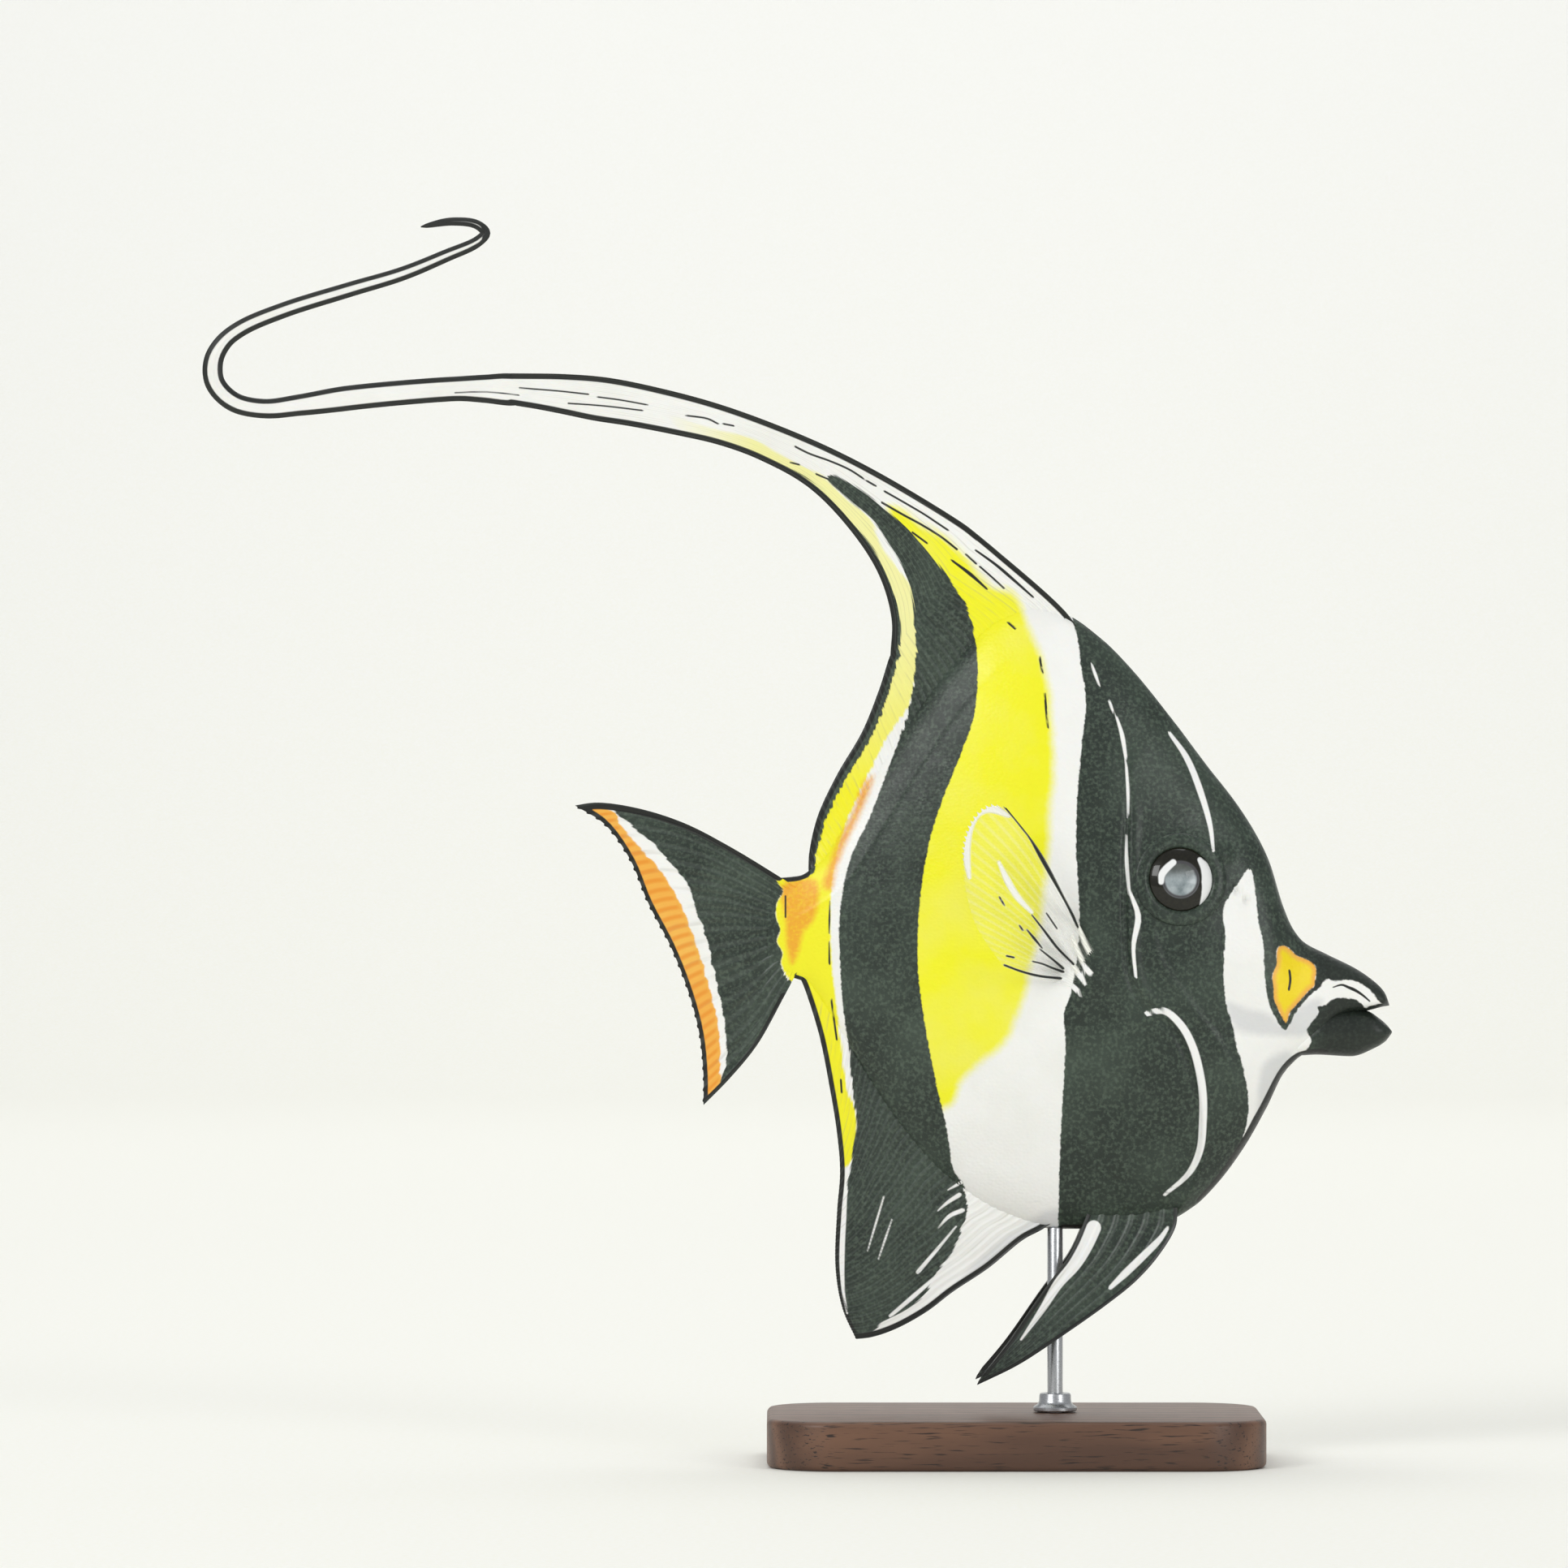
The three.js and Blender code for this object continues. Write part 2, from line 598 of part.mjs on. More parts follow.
// The stand: a round-cornered base, a rod that cradles the belly's keel, and a collar at its foot.
function addStand() {
  const [halfLength, halfWidth] = [base.length / 2 - base.bevel, base.width / 2 - base.bevel];
  const outline = new THREE.Shape();
  const inner = base.corner - base.bevel;
  outline.absarc(halfLength - inner, halfWidth - inner, inner, 0, Math.PI / 2);
  outline.absarc(-halfLength + inner, halfWidth - inner, inner, Math.PI / 2, Math.PI);
  outline.absarc(-halfLength + inner, -halfWidth + inner, inner, Math.PI, 1.5 * Math.PI);
  outline.absarc(halfLength - inner, -halfWidth + inner, inner, 1.5 * Math.PI, 2 * Math.PI);
  const slab = new THREE.ExtrudeGeometry(outline, {
    depth: base.height - 2 * base.bevel,
    bevelThickness: base.bevel,
    bevelSize: base.bevel,
    bevelSegments: 2,
    curveSegments: 6,
  });
  slab.translate(0, 0, base.bevel);
  const column = (radius, low, high) => {
    const made = new THREE.CylinderGeometry(radius, radius, high - low, 20);
    made.rotateX(Math.PI / 2);
    made.translate(rod.x, 0, (low + high) / 2);
    return solid(made);
  };
  const socketFloor = base.height - rod.socket;
  const socket = column(rod.radius + touchGap, socketFloor, base.height + 1);
  addNode("stand_base", solid(slab).subtract(socket), walnut);

  const rodTop = lowerEdge(rod.x) + rod.hug;
  const post = column(rod.radius, socketFloor + touchGap, rodTop);
  addNode("stand_rod", post.subtract(bodyClear), steel);

  const [foot, head] = [base.height + touchGap, base.height + touchGap + collar.height];
  const bore = rod.radius + touchGap;
  const ring = new THREE.LatheGeometry(
    [
      [bore, foot], [collar.radius, foot], [collar.radius, foot + 1],
      [collar.radius - collar.flare, foot + 2.4], [collar.radius - collar.flare, head - 0.5],
      [collar.radius - collar.flare - 0.5, head], [bore, head], [bore, foot],
    ].map(([r, z]) => new THREE.Vector2(r, z)),
    24,
  );
  ring.rotateX(Math.PI / 2);
  ring.translate(rod.x, 0, 0);
  addNode("stand_collar", solid(ring), steel);
}

addBody();
addFins();
addStreamer();
addStand();

export default fish;
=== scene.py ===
# %% [markdown]
# # A moorish idol, life size
# A moorish idol is a reef fish as deep as it is long and thinner than a hand.
# Its dorsal fin runs out into a long white streamer, and its snout ends in a small black chin.
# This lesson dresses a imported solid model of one, which swims above a wooden base on a steel rod.
# The solid model sets every place and size, so the first step is to load it and keep its box.

# %% The frame
import math

import bpy
import numpy as np
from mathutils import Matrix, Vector


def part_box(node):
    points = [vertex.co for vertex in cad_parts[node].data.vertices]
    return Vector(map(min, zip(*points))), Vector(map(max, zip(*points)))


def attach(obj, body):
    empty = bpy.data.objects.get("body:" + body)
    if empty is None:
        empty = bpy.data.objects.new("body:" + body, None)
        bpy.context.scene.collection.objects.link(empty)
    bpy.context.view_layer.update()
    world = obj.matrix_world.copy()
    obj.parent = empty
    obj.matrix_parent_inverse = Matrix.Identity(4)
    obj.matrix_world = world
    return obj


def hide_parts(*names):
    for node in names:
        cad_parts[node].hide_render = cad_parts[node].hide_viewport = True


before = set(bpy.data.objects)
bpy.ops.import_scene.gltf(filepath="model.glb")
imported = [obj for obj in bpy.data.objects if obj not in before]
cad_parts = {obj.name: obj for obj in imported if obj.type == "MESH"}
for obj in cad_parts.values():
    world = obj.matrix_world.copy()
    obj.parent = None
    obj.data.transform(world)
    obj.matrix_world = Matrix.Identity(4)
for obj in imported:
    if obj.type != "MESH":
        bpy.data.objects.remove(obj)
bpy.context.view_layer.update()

MM = 0.001

# %% [markdown]
# ## The camera first
# The picture shows the fish exactly from its right side, flat as a field-guide plate.
# A long lens far away gives that flatness, because everything is then at nearly one distance.
# The picture is 1932 pixels wide at 0.2 mm to the pixel, so 386.4 mm have to fill the frame.

# %% Camera
PIXEL = 0.2
PICTURE = 1932


def from_picture(points):
    """Places in the picture, in pixels, as [x, z] in mm in the fish's own middle plane."""
    return np.array([((px - 1250) * PIXEL, (1800 - py) * PIXEL) for px, py in points], float)


centre = from_picture([(PICTURE / 2, PICTURE / 2)])[0]
distance = 2400
bpy.ops.object.camera_add(
    location=(centre[0] * MM, -distance * MM, centre[1] * MM), rotation=(math.pi / 2, 0, 0)
)
camera = bpy.context.object
camera.data.lens = camera.data.sensor_width * distance / (PICTURE * PIXEL)
camera.data.clip_end = 20
bpy.context.scene.camera = camera
print("camera", [round(c, 3) for c in camera.location], "lens", round(camera.data.lens, 1), "mm")

# %% [markdown]
# ## Lines and profiles
# A fish has no straight edge, so its outline is kept as a few measured points and a rule between
# them. A profile gives a height or a thickness for each x and never overshoots its points. A line
# runs smoothly through points of the side view, and is read by the share of its length. Both follow
# the same rules as the solid model, so the skin lands where the solids are.


# %% Profile and line
def profile(*pairs):
    """A smooth value through (x, value) pairs: cubic pieces whose slopes never overshoot."""
    xs, ys = np.array(sorted(pairs), float).T
    steps = np.diff(ys) / np.diff(xs)
    before, after = np.r_[steps[0], steps], np.r_[steps, steps[-1]]
    with np.errstate(divide="ignore", invalid="ignore"):
        slopes = np.where(before * after > 0, 2 * before * after / (before + after), 0)

    def value(x):
        x = np.clip(np.asarray(x, float), xs[0], xs[-1])
        i = np.clip(np.searchsorted(xs, x, side="right") - 1, 0, len(xs) - 2)
        span = xs[i + 1] - xs[i]
        t = (x - xs[i]) / span
        return (
            (2 * t**3 - 3 * t**2 + 1) * ys[i]
            + (t**3 - 2 * t**2 + t) * span * slopes[i]
            + (3 * t**2 - 2 * t**3) * ys[i + 1]
            + (t**3 - t**2) * span * slopes[i + 1]
        )

    return value


class Line:
    """A smooth line through [x, z] points, and its place at a share of its length."""

    def __init__(self, points, closed=False, steps=24):
        p = np.array(points, float)
        if closed:
            p = np.vstack([p[-1], p, p[:2]])
        else:
            p = np.vstack([2 * p[0] - p[1], p, 2 * p[-1] - p[-2]])
        gap = np.maximum(np.linalg.norm(np.diff(p, axis=0), axis=1) ** 0.5, 1e-4)[:, None]
        t = np.linspace(0, 1, steps, endpoint=False)[:, None]
        pieces = []
        for k in range(1, len(p) - 2):
            a, b, c, d = p[k - 1 : k + 3]
            g0, g1, g2 = gap[k - 1], gap[k], gap[k + 1]
            start = g1 * ((b - a) / g0 - (c - a) / (g0 + g1) + (c - b) / g1)
            end = g1 * ((c - b) / g1 - (d - b) / (g1 + g2) + (d - c) / g2)
            pieces.append(
                (2 * t**3 - 3 * t**2 + 1) * b
                + (t**3 - 2 * t**2 + t) * start
                + (3 * t**2 - 2 * t**3) * c
                + (t**3 - t**2) * end
            )
        self.points = np.vstack([*pieces, p[-2]])
        run = np.r_[0, np.cumsum(np.linalg.norm(np.diff(self.points, axis=0), axis=1))]
        self.length = run[-1]
        self.share = run / run[-1]

    def at(self, t):
        x, z = self.points.T
        return np.stack([np.interp(t, self.share, x), np.interp(t, self.share, z)], -1)


def smooth_step(value, low, high):
    t = np.clip((value - low) / (high - low), 0, 1)
    return t * t * (3 - 2 * t)


print("profile and line are ready")

# %% [markdown]
# ## The body's numbers
# The upper and lower edges come from the picture. The half thickness can't be seen from the side.
# It follows the living fish: about 27 mm at the shoulder, and a blade at the tail.
# The keel number shapes each cross-section: 1 is an ellipse, and more draws the edges thin.

# %% Body numbers
upper_edge = profile(
    (92.3, 112.6), (91.2, 115.4), (89.3, 117.6), (84.3, 121.2), (77.1, 124.8), (71.4, 127.8),
    (68.6, 131.2), (66.1, 137), (62.9, 147.4), (60, 153.6), (55, 161.6), (47.1, 171.8),
    (39.3, 182.2), (28.6, 195.4), (21.4, 202.6), (12.7, 208.6), (5, 210.6), (-4, 207.8), (-16, 196),
    (-28, 179.8), (-40, 160.4), (-48, 148), (-53, 144.2), (-59, 143.6), (-62, 143.4),
)
lower_edge = profile(
    (92.3, 104.8), (91.4, 103.4), (89.3, 102.1), (82.9, 99.8), (74.3, 100.2), (70, 99.2),
    (66.4, 95.6), (62.1, 87), (56.4, 77), (50, 68.4), (44.3, 62.8), (37, 58.8), (28, 57.2),
    (10, 57.2), (-2, 60.4), (-16, 69), (-28, 82), (-38, 97), (-46, 110.6), (-52, 118.2),
    (-59, 119.8), (-62, 120),
)
# The roof of the mouth parts from the chin here, so the skin's lower edge climbs to it.
palate_edge = profile(
    (92.3, 112.2), (90.6, 111.9), (88, 111.2), (85.6, 110.7), (82, 110.2), (79, 108.2),
    (76, 104.4), (73, 101.2), (70, 99.4), (67.4, 96.9),
)
half_thickness = profile(
    (92.3, 2), (90.6, 3.7), (87.6, 4.3), (84, 4), (78, 4.4), (71, 5.6), (64, 8), (54, 10.6),
    (40, 12.5), (22, 13.6), (4, 13.3), (-14, 10.9), (-32, 7.2), (-46, 4.2), (-55, 2.3), (-59, 1.3),
    (-62, 0.9),
)
keel = profile((91, 0.95), (76, 1), (58, 1.15), (30, 1.35), (-30, 1.35), (-59, 1.1))
WIDEST_LEVEL = -0.08
GILL_STEP = 0.7

gill_edge = Line([
    (17, 230), (21.4, 203), (25.4, 184), (28, 165), (27.6, 146), (27.6, 131), (29, 118.6),
    (33, 112), (38.6, 107.6), (42.9, 99.6), (45.4, 88.6), (45.4, 77.1), (43, 69), (38, 57),
    (30, 30),
])


def flank(x, z, grow=0.0):
    """How far the flank lies from the middle plane at a point of the side view."""
    middle, half = (upper_edge(x) + lower_edge(x)) / 2, (upper_edge(x) - lower_edge(x)) / 2
    level = np.clip((z - middle) / half, -1, 1)
    shifted = level - WIDEST_LEVEL * (1 - level**2)
    return (half_thickness(x) + grow) * np.maximum(0, 1 - shifted**2) ** (keel(x) / 2)


print("depth at the shoulder", round(float(upper_edge(20) - lower_edge(20)), 1), "mm")

# %% [markdown]
# ## Distances in the side view
# Most forms and all of the colours follow lines of the side view, such as the edge of the gill
# cover. So each needs the distance of every point of the mesh from a line, or from a patch's
# border. A patch's distance is negative inside it, which a material can turn into a crisp or a soft
# edge.


# %% Distances
def nearest(points, route):
    """Distance to a line, and the share of its length at the nearest place."""
    best = np.full(len(points), np.inf)
    share = np.zeros(len(points))
    for k in range(len(route.points) - 1):
        a, b = route.points[k], route.points[k + 1]
        along = b - a
        t = np.clip(((points - a) @ along) / max(along @ along, 1e-12), 0, 1)
        gap = np.hypot(*(points - a - t[:, None] * along).T)
        closer = gap < best
        best[closer] = gap[closer]
        share[closer] = (route.share[k] + t * (route.share[k + 1] - route.share[k]))[closer]
    return best, share


FAR = 20.0
NEAR = 8.0


def close_by(points, border):
    """Which points lie in the border's box or near it. The others count as far away."""
    low, high = border.points.min(axis=0) - NEAR, border.points.max(axis=0) + NEAR
    return ((points > low) & (points < high)).all(axis=1)


def patch_distance(points, border):
    """Distance to a closed border, negative inside it."""
    near = close_by(points, border)
    gap, _ = nearest(points[near], border)
    x, z = points[near].T
    inside = np.zeros(len(x), bool)
    ring = border.points
    for a, b in zip(ring, np.roll(ring, -1, axis=0)):
        crosses = (a[1] > z) != (b[1] > z)
        rise = b[1] - a[1] if abs(b[1] - a[1]) > 1e-12 else 1e-12
        inside ^= crosses & (x < a[0] + (z - a[1]) * (b[0] - a[0]) / rise)
    whole = np.full(len(points), FAR)
    whole[near] = np.where(inside, -gap, gap)
    return whole


def ahead_of_gill(x, z):
    """Distance ahead of the gill cover's rear edge, measured along x."""
    run = gill_edge.points[np.argsort(gill_edge.points[:, 1])]
    return x - np.interp(z, run[:, 1], run[:, 0])


print("gill edge is", round(gill_edge.length), "mm long")

# %% [markdown]
# ## A sheet
# Skin and fins are sheets: one closes round the flesh, the others stand in the water.
# A grid primitive is the plainest sheet, and its own u and v tell where each point belongs.
# Extruding the body ring by ring would take hundreds of steps for the same mesh.
# So the grid is added with one operator and each of its points is carried to its place.


# %% Sheet
def only(piece):
    """Selects one object and makes it the active one."""
    bpy.ops.object.select_all(action="DESELECT")
    piece.select_set(True)
    bpy.context.view_layer.objects.active = piece
    return piece


def named(name):
    """The object that an operator has just added, with its name."""
    made = bpy.context.object
    made.name = made.data.name = name
    return made


def faces_out(merge=0):
    """Turns the active mesh's faces outwards, after merging points that lie this close, in mm."""
    bpy.ops.object.mode_set(mode="EDIT")
    bpy.ops.mesh.select_all(action="SELECT")
    if merge:
        bpy.ops.mesh.remove_doubles(threshold=merge * MM)
    bpy.ops.mesh.normals_make_consistent(inside=False)
    bpy.ops.object.mode_set(mode="OBJECT")


def edit_edges(piece, wanted):
    """Enters edit mode with only those edges selected whose two ends pass the test."""
    bpy.ops.object.mode_set(mode="EDIT")
    bpy.ops.mesh.select_mode(type="EDGE")
    bpy.ops.mesh.select_all(action="DESELECT")
    bpy.ops.object.mode_set(mode="OBJECT")
    for edge in piece.data.edges:
        edge.select = wanted(*(piece.data.vertices[i].co for i in edge.vertices))
    bpy.ops.object.mode_set(mode="EDIT")


def sheet(name, across, along, place):
    """A grid whose point (u, v) lies at place(u, v), in mm. It keeps u and v as attributes."""
    bpy.ops.object.select_all(action="DESELECT")
    bpy.ops.mesh.primitive_grid_add(x_subdivisions=across, y_subdivisions=along, size=1)
    piece = named(name)
    flat = np.empty(len(piece.data.vertices) * 3)
    piece.data.vertices.foreach_get("co", flat)
    u, v = np.clip(flat[0::3] + 0.5, 0, 1), np.clip(flat[1::3] + 0.5, 0, 1)
    piece.data.vertices.foreach_set("co", (place(u, v) * MM).ravel())
    piece.data.update()
    for key, values in (("u", u), ("v", v)):
        piece.data.attributes.new(key, "FLOAT", "POINT").data.foreach_set("value", values)
    return piece


def point_values(piece, key):
    """A point attribute as an array."""
    values = np.empty(len(piece.data.vertices))
    piece.data.attributes[key].data.foreach_get("value", values)
    return values


def close_up(piece, reach=0.004):
    """Joins the edges that meet, closes the ends and turns the faces outwards."""
    only(piece)
    bpy.ops.object.mode_set(mode="EDIT")
    bpy.ops.mesh.select_all(action="SELECT")
    bpy.ops.mesh.remove_doubles(threshold=reach * MM)
    bpy.ops.mesh.select_all(action="DESELECT")
    bpy.ops.mesh.select_non_manifold()
    if any(v.select for v in piece.data.vertices):
        bpy.ops.mesh.edge_face_add()
    faces_out()
    bpy.ops.object.shade_smooth()
    return piece


def placed_points(piece):
    """A mesh's points in mm, as rows of x, y, z."""
    flat = np.empty(len(piece.data.vertices) * 3)
    piece.data.vertices.foreach_get("co", flat)
    return flat.reshape(-1, 3) / MM


print("sheets can be laid")

# %% [markdown]
# ## The skin
# One skin covers the head, the snout, the trunk and the tail stalk, without a seam.
# Its relief is moved out along the surface: the gill cover stands 0.7 mm proud of the flank.
# In front of it runs the cheek's second edge, and a line of pores follows the back.
# A small knob sits ahead of each eye's upper edge, and two nostrils open below it.
# The eyes come later but share this place, so their radii, their depth and their ring stand here.

# %% Relief
EYE = np.array([40.4, 143.4])
EYE_SIZE = np.array([8.6, 8.6, 3.5])
RING_RADIUS, RING_THICKNESS = 9.1, 1.35
cheek_edge = Line([(33, 134), (35, 124), (43, 112), (51, 101), (53.6, 90), (52, 79)])
pore_line = Line([
    (27, 176), (22, 190), (12, 199), (1, 199), (-10, 190), (-22, 174), (-33, 156), (-43, 141),
    (-56, 132),
])


def relief(x, z):
    """How far the skin stands out from the plain form, in mm, at points of the side view."""
    at = np.stack([x, z], -1)
    ahead = ahead_of_gill(x, z)
    # High on the nape the gill cover has no free edge, so the step spreads out there.
    spread = 0.35 + 14 * smooth_step(z, 168, 186)
    out = GILL_STEP * smooth_step(ahead, -spread, spread)
    # Its free edge is a thin lip with a groove behind it.
    free_edge = smooth_step(z, 62, 70) * (1 - smooth_step(z, 150, 168))
    out += free_edge * 0.35 * np.exp(-(((ahead - 1.4) / 1.1) ** 2))
    out -= free_edge * 0.55 * np.exp(-(((ahead + 0.9) / 0.6) ** 2))
    gap, share = nearest(at, cheek_edge)
    out += 0.4 * np.exp(-((gap / 0.9) ** 2)) * np.sin(math.pi * np.clip(share, 0.02, 0.98)) ** 0.6
    gap, share = nearest(at, pore_line)
    pores = 0.7 + 0.3 * np.cos(share * pore_line.length / 1.6 * 2 * math.pi)
    out += 0.22 * np.exp(-((gap / 0.55) ** 2)) * pores * (1 - smooth_step(share, 0.94, 1))
    knob = np.hypot(x - 51.6, z - 149.6)
    out += 1.2 * np.exp(-((knob / 1.7) ** 2))
    # The skin swells towards the eye and hollows a little in front of it.
    eye = np.hypot(x - EYE[0], z - EYE[1])
    out += 0.5 * np.exp(-(((eye - 9.4) / 2.4) ** 2))
    out -= 0.45 * np.exp(-((np.hypot((x - 55) / 1.4, (z - 135) / 1.2) / 4) ** 2))
    for nx, nz, size in ((54.2, 140.6, 0.75), (56.4, 138.2, 0.62)):
        hole = np.hypot(x - nx, z - nz) / size
        out += 0.35 * np.exp(-(((hole - 1.5) / 0.5) ** 2)) - 1.1 * np.exp(-(hole**2))
    # The flesh at the root of each breast fin.
    base = np.hypot((x - 19.5) / 1.1, (z - 119.6) / 1.4)
    out += 0.9 * np.exp(-((base / 3.2) ** 2))
    # The upper lip is a soft roll along the mouth's edge.
    lip = np.exp(-(((z - palate_edge(x) - 1.7) / 1.3) ** 2)) * smooth_step(x, 79, 85)
    return out + 0.35 * lip


def skin_place(u, v):
    """u runs from the lip to the tail, v once round the body from the back down the left side."""
    stations = np.interp(u, [0, 0.3, 0.6, 0.92, 1], [92.3, 63, 20, -46, -61])
    # The lip and the tail's end are closed by rings that shrink.
    lip_round = np.sqrt(np.clip(1 - ((stations - 90.6) / 1.75).clip(0) ** 2, 0.0025, 1))
    share = 1 - np.abs(2 * v - 1)
    level = 0.5 * np.cos(math.pi * share) + 0.5 * (1 - 2 * share)
    top = upper_edge(stations)
    bottom = np.where(stations > 67.4, palate_edge(stations), lower_edge(stations))
    middle, half = (top + bottom) / 2, (top - bottom) / 2
    z = middle + half * level
    shifted = level - WIDEST_LEVEL * (1 - level**2)
    full = np.maximum(0, 1 - shifted**2) ** (keel(stations) / 2)
    side = np.where(v < 0.5, 1.0, -1.0)
    body = half_thickness(stations) * full
    # Relief fades to nothing on the keels, where the two sides meet.
    out = relief(stations, z) * smooth_step(full, 0.0, 0.35)
    return np.stack([stations, side * (body * lip_round + out * lip_round), z], -1)


skin = close_up(sheet("skin", 330, 220, skin_place))
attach(skin, "root")
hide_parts("head", "snout", "torso", "tail_stalk")
print("skin has", len(skin.data.polygons), "faces")

# %% [markdown]
# ## The chin
# The lower jaw is a small black scoop that hinges under the cheek, and it ends in a pointed chin.
# It is a form of its own here, because a real jaw is: a fold of skin parts it from the snout.
# The mouth is a little open, so the chin's upper edge and the upper lip leave a wedge between them.

# %% Lower jaw
jaw_top = profile(
    (66, 102), (70, 104.6), (73, 107.8), (76, 110.2), (80, 111.5), (84, 111.5), (87, 110.9),
    (90, 109), (92, 107.2), (93, 105.9),
)
jaw_bottom = profile(
    (66, 100.6), (70, 99.9), (74.3, 100.1), (82.9, 99.7), (89.3, 102), (91.4, 103.4), (92.6, 104.9),
    (93, 105.5),
)
jaw_half = profile(
    (66, 3.4), (70, 4.4), (76, 5), (84, 4.8), (88, 4.6), (90.6, 3.9), (92, 2.7), (92.8, 1.2),
    (93, 0.2),
)


def jaw_place(u, v):
    x = np.interp(u, [0, 0.5, 1], [93, 88, 66])
    angle = 2 * math.pi * v
    middle, half = (jaw_top(x) + jaw_bottom(x)) / 2, (jaw_top(x) - jaw_bottom(x)) / 2
    level = np.cos(angle)
    lip = 0.4 * np.exp(-(((level - 0.72) / 0.2) ** 2)) * smooth_step(x, 82, 87)
    y = (jaw_half(x) + lip) * np.sin(angle)
    return np.stack([x, y, middle + half * level], -1)


jaw = close_up(sheet("chin", 70, 56, jaw_place))
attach(jaw, "root")
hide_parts("lower_jaw")
print("jaw has", len(jaw.data.polygons), "faces")

# %% [markdown]
# ## The fins
# A fin is a thin skin stretched over rays, and every ray starts at the body and runs to the margin.
# Four measured lines bound each fin: the root, the leading edge, the margin and the trailing edge.
# A patch between the four gives the rays their natural fan, because u counts rays and v runs along
# them. The Solidify modifier then gives the thickness. A vertex group thickens it along each ray,
# so rays stand out on both faces as they do in life, and near the margin each ray forks in two.


# %% Fin maker
def fan(root, leading, margin, trailing, reach=lambda u: u, start=lambda u: u):
    """The place of (u, v) in the side view, on a patch between four lines.
    Ray u leaves the root at share start(u) and meets the margin at share reach(u)."""
    r0, r1 = root.at(start(0.0)), root.at(start(1.0))
    m0, m1 = margin.at(reach(0.0)), margin.at(reach(1.0))

    def at(u, v):
        r, m = root.at(start(u)), margin.at(reach(u))
        l, t = leading.at(v), trailing.at(v)
        u, v = u[:, None], v[:, None]
        corners = (1 - u) * ((1 - v) * r0 + v * m0) + u * ((1 - v) * r1 + v * m1)
        return (1 - v) * r + v * m + (1 - u) * l + u * t - corners

    return at


def hem(u, v):
    """1 at a plain fin's free margin, falling to 0 a little way in."""
    return smooth_step(v, 0.94, 1)


def fin(name, panels, rays, per_ray, sway, thick, spine=0.0, fork=0.55, notch=0.01):
    """One fin of one or more panels that share rays. A panel is its patch, its range of u, its
    range of v, its rows, and where it has a free margin. Each sway(u, v, x, z) is y in mm, and
    thick is the full thickness at the root and at the margin in mm."""

    def ridge(u, v):
        single = np.maximum(0, np.cos(2 * math.pi * u * rays)) ** 2
        double = np.maximum(0, np.cos(4 * math.pi * u * rays + math.pi)) ** 2
        forked = smooth_step(v, fork, fork + 0.3)
        return (1 - forked) * single + forked * 0.8 * double

    pieces = []
    for at, (u0, u1), (v0, v1), rows, free in panels:

        def place(s, t):
            u, v = u0 + (u1 - u0) * s, v0 + (v1 - v0) * t
            edge = t * (1 - notch * (1 - ridge(u, np.ones_like(u))) * free(s, t))
            x, z = at(s, edge).T
            return np.stack([x, sway(u, v, x, z), z], -1)

        panel = sheet(name, round(rays * per_ray * (u1 - u0)), rows, place)
        s, t = point_values(panel, "u"), point_values(panel, "v")
        panel.data.attributes["u"].data.foreach_set("value", u0 + (u1 - u0) * s)
        panel.data.attributes["v"].data.foreach_set("value", v0 + (v1 - v0) * t)
        panel.data.attributes.new("free", "FLOAT", "POINT").data.foreach_set("value", free(s, t))
        pieces.append(panel)
    piece = only(pieces[0])
    for panel in pieces[1:]:
        panel.select_set(True)
    if len(pieces) > 1:
        bpy.ops.object.join()
    faces_out(merge=0.01)

    u, v, free = (point_values(piece, key) for key in ("u", "v", "free"))
    inner = np.clip(1 - v, 0, 1)
    weight = thick[1] + (thick[0] - thick[1]) * inner**1.3
    weight += 0.5 * ridge(u, v) * (0.4 + 0.6 * inner)
    weight += spine * np.exp(-u * rays / 0.9) * (0.4 + 0.6 * inner)
    weight *= 1 - 0.45 * free
    most = 4.0
    group = piece.vertex_groups.new(name="thickness")
    for k, w in enumerate(np.clip(weight / most, 0.02, 1)):
        group.add([k], float(w), "REPLACE")
    ray_map(piece, u * rays, v)
    only(piece)
    shell = piece.modifiers.new("membrane", "SOLIDIFY")
    shell.thickness = most * MM
    shell.offset = 0
    shell.vertex_group = "thickness"
    bpy.ops.object.modifier_apply(modifier="membrane")
    faces_out()
    bpy.ops.object.shade_smooth_by_angle(angle=math.radians(70))
    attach(piece, "root")
    print(name, "has", rays, "rays and", len(piece.data.polygons), "faces")
    return piece


def ray_map(piece, across, along):
    """A UV map named rays: u counts the rays and v runs along them."""
    corner = np.empty(len(piece.data.loops), int)
    piece.data.loops.foreach_get("vertex_index", corner)
    layer = piece.data.uv_layers[0]
    layer.data.foreach_set("uv", np.stack([across[corner], along[corner]], -1).ravel())
    layer.name = "rays"


# %% [markdown]
# ## The dorsal fin
# Seven spines stand close together at its front, and about forty soft rays follow along the back.
# The front half of the rays is drawn out into the streamer, and the others end on the hollow hind
# edge. Those two courses need two panels, which share the line where the streamer leaves the fin.

